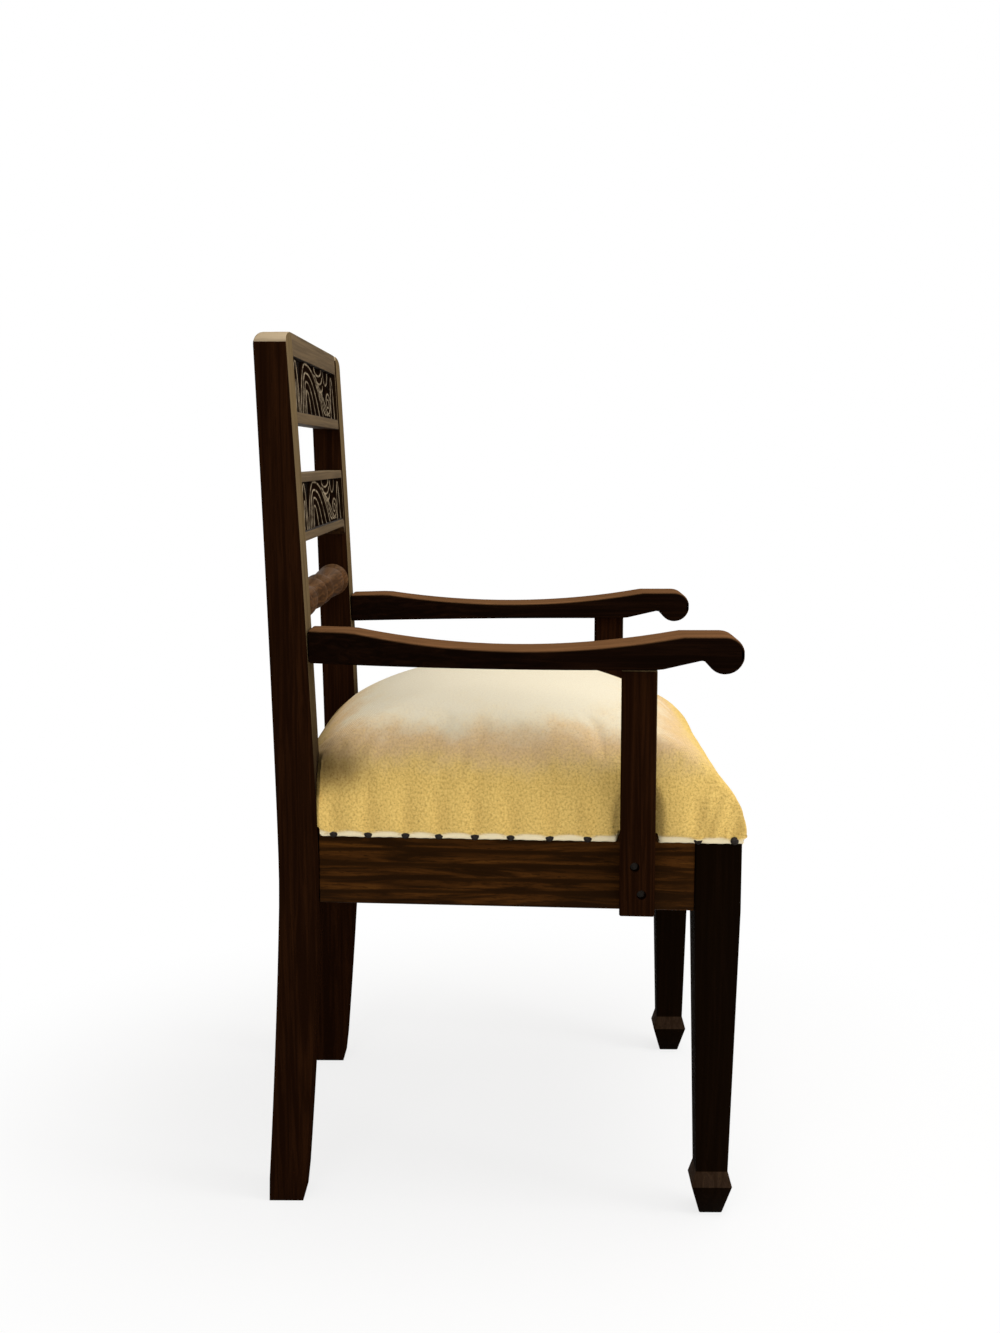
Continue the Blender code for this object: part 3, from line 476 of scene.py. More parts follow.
@dataclass(frozen=True)
class Teak:
    """Stained and waxed teak: a satin brown ground with long dark streaks and short open pores.

    Faces that look forwards or up are painted a dull tan above the seat: partly wear where hands rub
    them, and partly painted light and sheen from the lamps above and in front.
    """

    name: str
    ground: str
    streak: str
    light: str
    # Tan of faces that look forwards or up: partly wear, partly painted light and sheen.
    handled: str = "#8a6a48"
    front_share: float = 0.45
    top_share: float = 0.9
    handled_from: float = 0.42
    handled_to: float = 0.60
    gloss: float = 0.12
    gloss_tint: str = "#c08a50"
    roughness: float = 0.45
    dull_roughness: float = 0.95
    streak_wide: float = 7 * MM
    streak_long: float = 260 * MM
    pore_wide: float = 1.1 * MM
    pore_long: float = 22 * MM
    pore_deep: float = 0.25 * MM
    figure: float = 0.0
    figure_pitch: float = 15 * MM
    wear: float = 0.0

    def build(self, grain: Axis) -> bpy.types.Material:
        """Make the finish with its grain along an axis.

        Args:
            grain: Axis that the grain runs along.

        Returns:
            The material.
        """
        made, tree, shader = new_material(f"{self.name}_{grain.name.lower()}")
        place = add_node(tree, "TexCoord", out="Object")
        bands = self.pattern(tree, place, grain, self.streak_wide, self.streak_long, 4.0, 1.4)
        pores = self.pattern(tree, place, grain, self.pore_wide, self.pore_long, 2.0, 0.2)
        patches = add_node(tree, "TexNoise", {"Vector": place, "Scale": 1 / (18 * MM), "Detail": 3.0})
        share, dull = self.facing(tree, place, bands)
        rubbed = add_node(tree, "MapRange", {0: patches, 1: 0.35, 2: 0.70, 4: self.wear}, **SOFT)
        layers = [
            (add_node(tree, "MapRange", {0: bands, 1: 0.38, 2: 0.62}, **SOFT), self.streak),
            (add_node(tree, "MapRange", {0: bands, 1: 0.46, 2: 0.30, 4: 0.55}, **SOFT), self.light),
            (self.lines(tree, place, grain), self.streak),
            (add_node(tree, "MapRange", {0: pores, 1: 0.56, 2: 0.66, 4: 0.7}, **SOFT), self.streak),
            # Wear patches, and painted light on forward and upward faces, in one tan.
            (add_node(tree, "Math", {0: rubbed, 1: share}, operation="MAXIMUM"), self.handled),
        ]
        satin = add_node(tree, "MapRange", {0: bands, 3: self.roughness - 0.07, 4: self.roughness + 0.1})
        relief = {"Height": pores, "Strength": 0.35, "Distance": self.pore_deep}
        feed(
            shader,
            {
                "Base Color": layered(tree, self.ground, layers),
                "Roughness": add_node(tree, "MapRange", {0: dull, 3: satin, 4: self.dull_roughness}),
                "Specular IOR Level": self.gloss,
                "Specular Tint": linear(self.gloss_tint),
                "Normal": add_node(tree, "Bump", relief, invert=True),
            },
        )
        return made

    def facing(
        self, tree: bpy.types.NodeTree, place: bpy.types.NodeSocket, bands: bpy.types.NodeSocket
    ) -> tuple[bpy.types.NodeSocket, bpy.types.NodeSocket]:
        """How far a face takes the tan of wear and painted light, and how far it is dulled, from the way
        it faces, its height and its streaks.

        Args:
            tree: The material's node tree.
            place: Object coordinates.
            bands: The streaks' socket.

        Returns:
            Sockets of the share of wear and painted light, and of the dulled share.
        """
        normal = add_node(tree, "NewGeometry", out="Normal")
        look = add_node(tree, "SeparateXYZ", {0: normal}).node.outputs
        height = add_node(tree, "SeparateXYZ", {0: place}, "Z")
        # Painted light and sheen on faces that look forwards or up, above the seat.
        front = add_node(tree, "MapRange", {0: look["Y"], 1: -0.35, 2: -0.95, 4: self.front_share}, **SOFT)
        top = add_node(tree, "MapRange", {0: look["Z"], 1: 0.2, 2: 0.8, 4: self.top_share}, **SOFT)
        reached = add_node(tree, "MapRange", {0: height, 1: self.handled_from, 2: self.handled_to}, **SOFT)
        kept = add_node(tree, "MapRange", {0: bands, 1: 0.35, 2: 0.70, 3: 1.0, 4: 0.6})
        wear_and_light = add_node(tree, "Math", {0: front, 1: top}, operation="MAXIMUM")
        for share in (reached, kept):
            wear_and_light = add_node(tree, "Math", {0: wear_and_light, 1: share}, operation="MULTIPLY")
        across = add_node(tree, "Math", {0: look["Y"]}, operation="ABSOLUTE")
        dull = add_node(tree, "MapRange", {0: across, 1: 0.35, 2: 0.95}, **SOFT)
        return wear_and_light, add_node(tree, "Math", {0: dull, 1: top}, operation="MAXIMUM")

    def lines(
        self, tree: bpy.types.NodeTree, place: bpy.types.NodeSocket, grain: Axis
    ) -> bpy.types.NodeSocket:
        """Long thin dark lines that wander along the grain.

        Args:
            tree: The material's node tree.
            place: Object coordinates.
            grain: Axis that the grain runs along.

        Returns:
            The lines' share.
        """
        scale = [1.0] * 3
        scale[grain.value] = 0.12
        values = {
            "Vector": add_node(tree, "Mapping", {"Vector": place, "Scale": scale}),
            "Scale": WAVE / self.figure_pitch,
            "Distortion": 7.0,
            "Detail": 2.0,
            "Detail Scale": 0.6,
        }
        wave = add_node(tree, "TexWave", values, "Fac", bands_direction="Z")
        return add_node(tree, "MapRange", {0: wave, 1: 0.72, 2: 0.97, 4: self.figure}, **SOFT)

    @staticmethod
    def pattern(
        tree: bpy.types.NodeTree,
        place: bpy.types.NodeSocket,
        grain: Axis,
        wide: float,
        long: float,
        detail: float,
        wander: float,
    ) -> bpy.types.NodeSocket:
        """Noise drawn out along the grain.

        Args:
            tree: The material's node tree.
            place: Object coordinates.
            grain: Axis that the grain runs along.
            wide: Width of a streak across the grain.
            long: Length of a streak along the grain.
            detail: Octaves of the noise.
            wander: How far the streaks wander.

        Returns:
            The noise's socket.
        """
        scale = [1 / wide] * 3
        scale[grain.value] = 1 / long
        values = {
            "Vector": add_node(tree, "Mapping", {"Vector": place, "Scale": scale}),
            "Scale": 1.0,
            "Detail": detail,
            "Roughness": 0.6,
            "Distortion": wander,
        }
        return add_node(tree, "TexNoise", values)


@dataclass(frozen=True)
class CarvedTeak:
    """Carved teak: dull dark stain with painted shade in the sunk ground, and ridges that handling has
    rubbed pale, with painted highlights on some of them.
    """

    name: str = "carved_teak"
    ground: str = "#080402"
    flank: str = "#1a0f08"
    ridge: str = "#968770"
    fleck: float = 9 * MM

    def build(self) -> bpy.types.Material:
        """Make the finish, which reads the carving's own height.

        Returns:
            The material.
        """
        made, tree, shader = new_material(self.name)
        height = add_node(tree, "Attribute", out="Fac", attribute_name=Carving.HEIGHT)
        place = add_node(tree, "TexCoord", out="Object")
        # Patches that make some ridges paler than others: rubbed wear, and painted highlights.
        patches = add_node(tree, "TexNoise", {"Vector": place, "Scale": 1 / self.fleck, "Detail": 3.0})
        worn = add_node(tree, "MapRange", {0: patches, 1: 0.35, 2: 0.6, 3: 0.25})
        top = add_node(tree, "MapRange", {0: height, 1: 0.66, 2: 0.98}, **SOFT)
        # The colour darkens with depth: dark stain, and painted shade in the sunk ground and on the
        # flanks.
        layers = [
            (add_node(tree, "MapRange", {0: height, 1: 0.1, 2: 0.5}, **SOFT), self.flank),
            (add_node(tree, "Math", {0: top, 1: worn}, operation="MULTIPLY"), self.ridge),
        ]
        colour = layered(tree, self.ground, layers)
        feed(shader, {"Base Color": colour, "Roughness": 0.6, "Specular IOR Level": 0.0})
        return made


@dataclass(frozen=True)
class Linen:
    """Natural linen in plain weave: a dull golden ground with slubs and specks, with the top painted
    pale as light from above falls on it.

    Real threads lie about 0.5 mm apart, which is too fine to show at a step's distance, so the
    weave is drawn at twice that. It is painted darker beside the back posts, as shade where the
    cover meets them.
    """

    name: str = "natural_linen"
    side: str = "#efcc76"
    # Pale colour of the top: painted light from above.
    top: str = "#eee8d3"
    blush: str = "#dba67c"
    shade: str = "#a98445"
    light: str = "#fde08a"
    speck: str = "#6e5128"
    hem: str = "#fbf0cf"
    # Colour of the painted shade beside the back posts.
    post_shade: str = "#4a3520"
    thread: float = 1.1 * MM
    uneven: float = 1.2
    mottle: float = 2.6 * MM
    fleck: float = 3.2 * MM
    smudge: float = 70 * MM
    waver: float = 12 * MM
    blush_at: float = 0.507
    blush_wide: float = 0.026
    lit_top_from: float = 0.470
    lit_top_to: float = 0.545
    # Reach of the painted shade beside the back posts, from front to back and in height.
    post_shade_from: float = 0.120
    post_shade_to: float = 0.172
    post_shade_at: float = 0.482
    post_shade_wide: float = 0.034

    def build(self) -> bpy.types.Material:
        """Make the finish, whose weave follows the piece's UV map.

        Returns:
            The material.
        """
        made, tree, shader = new_material(self.name)
        place = add_node(tree, "TexCoord", out="Object")
        flat = place.node.outputs["UV"]
        spot = add_node(tree, "SeparateXYZ", {0: place}).node.outputs
        noise = [
            add_node(
                tree, "TexNoise", {"Vector": source, "Scale": 1 / size, "Detail": detail, "Roughness": 0.7}
            )
            for source, size, detail in (
                (place, self.smudge, 4.0), (flat, self.mottle, 8.0), (flat, self.fleck, 5.0)
            )
        ]
        lift = add_node(tree, "MapRange", {0: noise[0], 1: 0.3, 2: 0.7, 3: -self.waver, 4: self.waver})
        # Painted light: the cover turns pale towards its top, and its mottle fades there, as if lit from
        # above.
        level = add_node(tree, "Math", {0: spot["Z"], 1: lift}, operation="ADD")
        painted_lit_top = add_node(tree, "MapRange", {0: level, 1: self.lit_top_from, 2: self.lit_top_to}, **SOFT)
        plain = add_node(tree, "MapRange", {0: painted_lit_top, 3: 0.65, 4: 0.1})
        patches = add_node(tree, "MapRange", {0: noise[1], 1: 0.46, 2: 0.66}, **SOFT)
        lights = add_node(tree, "MapRange", {0: noise[1], 1: 0.50, 2: 0.36}, **SOFT)
        specks = add_node(tree, "MapRange", {0: noise[2], 1: 0.60, 2: 0.72, 4: 1.2}, **SOFT)
        slubs = crossed_ribs(tree, flat, self.thread, self.uneven)
        # Painted shade: the cover darkens beside the back posts, where they shade it.
        near_post_front = add_node(tree, "MapRange", {0: spot["Y"], 1: self.post_shade_from, 2: self.post_shade_to}, **SOFT)
        post_shade_band = self.band(tree, spot["Z"], self.post_shade_at, self.post_shade_wide, 0.75)
        layers = [
            (painted_lit_top, self.top),
            # A pinkish band along the roll, where the painted pale top meets the side.
            (self.band(tree, level, self.blush_at, self.blush_wide, 0.4), self.blush),
            (add_node(tree, "Math", {0: patches, 1: plain}, operation="MULTIPLY"), self.shade),
            (add_node(tree, "Math", {0: lights, 1: plain}, operation="MULTIPLY"), self.light),
            (add_node(tree, "MapRange", {0: slubs, 1: 0.45, 2: 0.15, 4: 0.3}, **SOFT), self.shade),
            (add_node(tree, "Math", {0: specks, 1: plain}, operation="MULTIPLY"), self.speck),
            (add_node(tree, "Math", {0: post_shade_band, 1: near_post_front}, operation="MULTIPLY"), self.post_shade),
            (add_node(tree, "Attribute", out="Fac", attribute_name=Seat.HEM), self.hem),
        ]
        feed(
            shader,
            {
                "Base Color": layered(tree, self.side, layers),
                "Roughness": 0.92,
                "Specular IOR Level": 0.1,
                "Normal": add_node(tree, "Bump", {"Height": slubs, "Strength": 0.5, "Distance": 0.3 * MM}),
            },
        )
        return made

    @staticmethod
    def band(
        tree: bpy.types.NodeTree, value: bpy.types.NodeSocket, middle: float, half: float, share: float
    ) -> bpy.types.NodeSocket:
        """Soft band round a value.

        Args:
            tree: The material's node tree.
            value: The value's socket.
            middle: Where the band is strongest.
            half: How far it reaches to each side.
            share: Its strength.

        Returns:
            The band's socket.
        """
        away = add_node(tree, "Math", {0: value, 1: middle}, operation="SUBTRACT")
        away = add_node(tree, "Math", {0: away}, operation="ABSOLUTE")
        return add_node(tree, "MapRange", {0: away, 1: half, 2: 0.0, 4: share}, **SOFT)


@dataclass(frozen=True)
class Jute:
    """Jute webbing and canvas: coarse dull brown yarn, ribbed across."""

    name: str
    ground: str
    shade: str
    rib: float = 3 * MM
    uneven: float = 1.5

    def build(self) -> bpy.types.Material:
        """Make the finish.

        Returns:
            The material.
        """
        made, tree, shader = new_material(self.name)
        yarn = crossed_ribs(tree, add_node(tree, "TexCoord", out="Object"), self.rib, self.uneven)
        feed(
            shader,
            {
                "Base Color": layered(tree, self.shade, [(yarn, self.ground)]),
                "Roughness": 0.95,
                "Specular IOR Level": 0.1,
                "Normal": add_node(tree, "Bump", {"Height": yarn, "Strength": 0.7, "Distance": 0.6 * MM}),
            },
        )
        return made


@dataclass(frozen=True)
class Iron:
    """Forged and drawn iron: dark grey metal, dulled and spotted by rust."""

    name: str
    metal: str
    rust: str
    roughness: float
    spot: float = 2 * MM

    def build(self) -> bpy.types.Material:
        """Make the finish.

        Returns:
            The material.
        """
        made, tree, shader = new_material(self.name)
        place = add_node(tree, "TexCoord", out="Object")
        spots = add_node(tree, "TexNoise", {"Vector": place, "Scale": 1 / self.spot, "Detail": 3.0})
        rusted = add_node(tree, "MapRange", {0: spots, 1: 0.5, 2: 0.7, 4: 0.8}, **SOFT)
        reach = {0: spots, 3: self.roughness - 0.1, 4: self.roughness + 0.2}
        feed(
            shader,
            {
                "Base Color": layered(tree, self.metal, [(rusted, self.rust)]),
                "Roughness": add_node(tree, "MapRange", reach),
                "Metallic": 0.9,
            },
        )
        return made


DARK = Teak("dark_teak", "#241207", "#190b04", "#2c1709", handled="#9a845f", gloss=0.0)
DARK_WORN = Teak("dark_teak_worn", "#24140a", "#160a04", "#301c0d", handled="#a28a64", gloss=0.0, wear=0.3)
LEG = Teak("leg_teak", "#0b0502", "#070301", "#100703", gloss=0.04)
LEG_WORN = Teak("leg_teak_worn", "#140a05", "#0b0502", "#1c0f07", gloss=0.06, wear=0.15)
# Paler teak on each spade foot, from its widest point up to its neck.
LEG_SHOULDER = Teak("leg_teak_shoulder", "#30231a", "#271b12", "#38291b", gloss=0.04)
ARM = Teak("arm_teak", "#150a05", "#0d0603", "#1d0f06", handled="#785436", gloss=0.0)
ARM_WORN = Teak("arm_teak_worn", "#1c0f08", "#120804", "#281709", handled="#805c3c", gloss=0.0, wear=0.2)
BROWN = Teak("brown_teak", "#43260c", "#1a0c03", "#573612", streak_wide=16 * MM, figure=0.85)
BROWN_WORN = Teak("brown_teak_worn", "#40250f", "#221105", "#573818", handled="#7a6647", wear=0.3)
RAIL = Teak("back_rail_teak", "#342212", "#1d1009", "#432f19", handled="#74634a", front_share=0.6)
RAIL_WORN = Teak("back_rail_teak_worn", "#3a2614", "#241408", "#4c3a1c", handled="#826f50", wear=0.3)
# Pale teak of the post tops: partly dusty wood, partly painted light from above.
DUSTY_LIT_CAP = Teak("dusty_and_lit_cap_teak", "#9c8a70", "#786850", "#ae9c82", handled="#ae9b7e", gloss=0.0)
# Near-black teak of the panels' sunk walls: painted shade in the recess.
SHADED_RECESS = Teak("recess_teak", "#120904", "#0a0502", "#1a0d06", front_share=0.0, top_share=0.0)
RED = Teak("red_teak", "#4a2e1a", "#26150b", "#604428", handled="#7c5e3e", front_share=0.15, top_share=0.3)
RAW = Teak("raw_teak", "#5a3a20", "#36200f", "#7a5630")
CANVAS = Jute("spring_canvas", "#a08a62", "#6f5a3a", 2 * MM)
WEBBING = Jute("jute_webbing", "#9a8058", "#5c4728")
SPRING_STEEL = Iron("spring_steel", "#6d6a66", "#5a3a22", 0.4)
NAIL_IRON = Iron("iron_nail", "#2b2724", "#1d120c", 0.42)
SCREW_STEEL = Iron("screw_steel", "#2a2622", "#1c110a", 0.55)


class Woods:
    """The teak finishes, each made once for a direction of its grain."""

    made: dict[tuple[str, Axis], bpy.types.Material] = {}

    @classmethod
    def along(cls, grain: Axis, *finishes: Teak) -> list[bpy.types.Material]:
        """Finishes of a piece whose grain runs along an axis.

        Args:
            grain: Axis that the grain runs along.
            finishes: The finishes, in the order of the faces' numbers.

        Returns:
            Their materials.
        """
        for finish in finishes:
            if (finish.name, grain) not in cls.made:
                cls.made[finish.name, grain] = finish.build(grain)
        return [cls.made[finish.name, grain] for finish in finishes]


@dataclass
class BackPosts:
    """The two raked back posts, with tops that roll over towards the back."""

    edge: float = 2.5 * MM
    crown: float = 8 * MM
    crown_depth: float = 14 * MM
    shoulder: float = 10 * MM
    cap_slope: float = 0.2
    side_facing: float = 0.9
    top_facing: float = 0.5
    facets: int = 5
    heights: int = 36
    across: int = 8
    straight: tuple[float, float] = (0.2, 0.8)

    def build(self) -> None:
        """Model and dress both posts."""
        for side in Side:
            node = CadNode(f"back_post_{side.label}")
            post = shaped_block(
                f"raked_post_{side.label}",
                (even(0, 1, self.across), (0, 1), even(0, 1, self.heights)),
                lambda u, v, w: self.place(node, u, v, w),
            )
            outward(post)
            limit = node.high.z - self.crown_depth
            low, high = node.cut(Axis.Z, limit)
            front = low.y + self.crown
            middle = abs(low.x + high.x) / 2

            def rolled(edge: bmesh.types.BMEdge) -> bool:
                """Whether an edge of the top rolls over towards the back."""
                ends = [vert.co for vert in edge.verts]
                return min(end.z for end in ends) > limit and (ends[0].y + ends[1].y) / 2 > front

            def outer(edge: bmesh.types.BMEdge) -> bool:
                """Whether an edge of the top lies on the chair's outside.

                Args:
                    edge: An edge of the post.

                Returns:
                    True where the shoulder is rounded.
                """
                ends = [vert.co for vert in edge.verts]
                sides = [face.normal for face in edge.link_faces]
                upright = max(abs(normal.x) for normal in sides) > self.side_facing
                level = upright and max(normal.z for normal in sides) > self.top_facing
                return level and min(end.z for end in ends) > limit and side.value * ends[0].x > middle

            round_edges(post, rolled, self.crown, self.facets)
            round_edges(post, outer, self.shoulder, self.facets + 1)
            ease_corners(post, self.edge)
            # Upward faces of the rolled tops take the pale cap teak: partly dusty wood, partly painted
            # light from above.
            for face in post.data.polygons:
                if face.center.z > limit and face.normal.z > self.cap_slope:
                    face.material_index = Finish.ACCENT
            woods = Woods.along(Axis.Z, DARK, DARK_WORN) + Woods.along(Axis.Y, DUSTY_LIT_CAP)
            dress(post, "dark_teak", woods, node.name)

    def place(self, node: CadNode, u: float, v: float, w: float) -> Vector:
        """Where a point of a post goes.

        Args:
            node: The frame's post.
            u: Share across the post.
            v: Share from its front to its back.
            w: Share of its height.

        Returns:
            The point.
        """
        low, high = (node.cut(Axis.Z, height) for height in self.straight)

        def across(height: float) -> float:
            """Place across the post at a height.

            Args:
                height: The height.

            Returns:
                The place.
            """
            share = (height - self.straight[0]) / (self.straight[1] - self.straight[0])
            ends = [low[end].x + share * (high[end].x - low[end].x) for end in (0, 1)]
            return ends[0] + u * (ends[1] - ends[0])

        reach = across(node.high.z)
        inside = min(max(reach, node.low.x + MM), node.high.x - MM)
        top = node.cut(Axis.X, inside)[1].z
        height = node.low.z + w * (top - node.low.z)
        level = min(max(height, node.low.z + MM), node.high.z - MM)
        front, back = node.cut(Axis.Z, level)
        return Vector((across(height), front.y + v * (back.y - front.y), height))


@dataclass
class Carving:
    """Foliage carved in a sunk panel: nested arches, long falling strands and a scroll.

    Shares across run from -1 at the sitter's right to 1, and shares up run from 0 to 1.
    """

    HEIGHT = "carved_height"
    rise: float = 2.0 * MM
    strand: float = 3.0 * MM
    steep: float = 2.3
    leaf: float = 0.38
    leaf_reach: float = 11 * MM
    cell: float = 0.8 * MM
    backing: float = 2 * MM
    tool_marks: float = 0.25 * MM
    tool_pitch: tuple[float, float, float] = (900.0, 1300.0, 40.0)
    curl_from: float = -0.6
    curl_by: float = 3.1
    curl_in: float = 0.78
    curl_wide: float = 0.5464
    ridge_power: float = 1.2
    facet: float = 60.0
    points: int = 40

    def strands(self) -> list[list[tuple[float, float]]]:
        """Centre lines of the carved strands.

        Returns:
            For each strand its points, as shares across and up.
        """
        lines = [self.arch(-0.78, 0.14, 0.09, 0.95), self.arch(-0.78, 0.06, 0.04, 0.60)]
        for nest in range(4):
            lines.append(self.arch(-0.36, 0.30 - 0.08 * nest, 0.72 - 0.19 * nest, 0.97 - 0.17 * nest))
        for nest in range(3):
            lines.append(self.fall(0.0 + 0.09 * nest, 0.82 - 0.10 * nest, 0.50 + 0.10 * nest, 0.06))
        for nest in range(3):
            lines.append(self.scallop(0.20 + 0.04 * nest, 0.17 - 0.02 * nest, 0.97 - 0.16 * nest, 0.14))
        lines.append(self.scallop(0.56, 0.11, 0.95, 0.26))
        lines.append(self.scroll(0.64, 0.34, 0.25))
        lines.append(self.arch(0.88, 0.10, 0.09, 0.90))
        return lines

    def arch(self, middle: float, before: float, after: float, top: float) -> list[tuple[float, float]]:
        """A tall arch that may fall more slowly on one side.

        Args:
            middle: Share across of its top.
            before: Its reach towards the sitter's right.
            after: Its reach towards the sitter's left.
            top: Share up of its top.

        Returns:
            Its points, as shares across and up.
        """
        return [
            (middle + (before if share < 0 else after) * share, top * (1 - abs(share) ** self.steep))
            for share in even(-1, 1, self.points)
        ]

    def fall(self, start: float, top: float, end: float, bottom: float) -> list[tuple[float, float]]:
        """A strand that swings from one place at the top to another below.

        Args:
            start: Share across of its upper end.
            top: Share up of its upper end.
            end: Share across of its lower end.
            bottom: Share up of its lower end.

        Returns:
            Its points, as shares across and up.
        """
        shares = even(0, 1, self.points)
        return [(start + (end - start) * share, top + (bottom - top) * ease(share)) for share in shares]

    def scallop(self, middle: float, half: float, top: float, deep: float) -> list[tuple[float, float]]:
        """A cup that hangs from the panel's top.

        Args:
            middle: Share across of its middle.
            half: Half its width, as a share across.
            top: Share up of its ends.
            deep: How far it hangs, as a share up.

        Returns:
            Its points, as shares across and up.
        """
        turns = even(0, math.pi, self.points)
        return [(middle - half * math.cos(turn), top - deep * math.sin(turn)) for turn in turns]

    def scroll(self, middle: float, height: float, reach: float) -> list[tuple[float, float]]:
        """A spiral that ends in the panel's lower half.

        Args:
            middle: Share across of its centre.
            height: Share up of its centre.
            reach: How far its outer end lies from the centre, as a share up.

        Returns:
            Its points, as shares across and up.
        """
        line = []
        for share in even(0, 1, 2 * self.points):
            radius = reach * (1 - self.curl_in * share)
            turn = math.pi * (self.curl_from + self.curl_by * share)
            across = middle + self.curl_wide * radius * math.cos(turn)
            line.append((across, height + radius * math.sin(turn)))
        return line

    def build(self, name: str, low: Vector, high: Vector, rake: float, lean: float) -> bpy.types.Object:
        """Carve one panel.

        Args:
            name: The carving's name.
            low: Lowest right corner of the sunk ground.
            high: Highest left corner of the sunk ground.
            rake: How far the panel leans back for each metre up.
            lean: How far its sides spread for each metre up.

        Returns:
            The carving.
        """
        wide, tall = high.x - low.x, high.z - low.z
        columns, rows = round(wide / self.cell), round(tall / self.cell)
        deselect()
        bpy.ops.mesh.primitive_grid_add(x_subdivisions=columns, y_subdivisions=rows, size=2)
        panel = started(name)
        count = len(panel.data.vertices)
        shares = np.empty(3 * count)
        panel.data.vertices.foreach_get("co", shares)
        across, up = shares.reshape(-1, 3)[:, 0], (shares.reshape(-1, 3)[:, 1] + 1) / 2
        height = self.heights(across * wide / 2, up * tall, wide / 2, tall)
        pitch = self.tool_pitch
        noise = np.sin(across * wide * pitch[0]) * np.sin(up * tall * pitch[1] + across * pitch[2])
        depth = self.rise * height + self.tool_marks * noise * (1 - height)
        points = np.stack(
            [
                across * (wide / 2 + lean * up * tall),
                low.y + rake * up * tall - depth,
                low.z + up * tall,
            ],
            axis=1,
        )
        panel.data.vertices.foreach_set("co", points.ravel())
        attribute = panel.data.attributes.new(self.HEIGHT, "FLOAT", "POINT")
        attribute.data.foreach_set("value", height.astype(np.float32))
        select(panel, Part.EDGES, lambda edge: edge.is_boundary)
        bpy.ops.mesh.extrude_region_move(TRANSFORM_OT_translate={"value": (0, self.backing, 0)})
        bpy.ops.mesh.edge_face_add()
        outward(panel)
        smooth(panel, self.facet)
        return panel

    def heights(self, x: np.ndarray, z: np.ndarray, half: float, tall: float) -> np.ndarray:
        """Carved height of each point, as a share of the rise.

        Args:
            x: Places across, from the panel's middle.
            z: Places up from the panel's lower edge.
            half: Half of the panel's width.
            tall: The panel's height.

        Returns:
            The shares.
        """
        height = np.zeros(len(x))
        for line in self.strands():
            points = np.array([(across * half, up * tall) for across, up in line])
            nearest = np.full(len(x), np.inf)
            for start, end in zip(points, points[1:]):
                run = end - start
                share = ((x - start[0]) * run[0] + (z - start[1]) * run[1]) / max(run @ run, TINY ** 2)
                share = np.clip(share, 0, 1)
                gap = np.hypot(x - start[0] - share * run[0], z - start[1] - share * run[1])
                nearest = np.minimum(nearest, gap)
            ridge = np.cos(np.clip(nearest / self.strand, 0, 1) * math.pi / 2) ** self.ridge_power
            body = self.leaf * np.cos(np.clip(nearest / self.leaf_reach, 0, 1) * math.pi / 2)
            height = np.maximum(height, np.maximum(ridge, body))
        return height


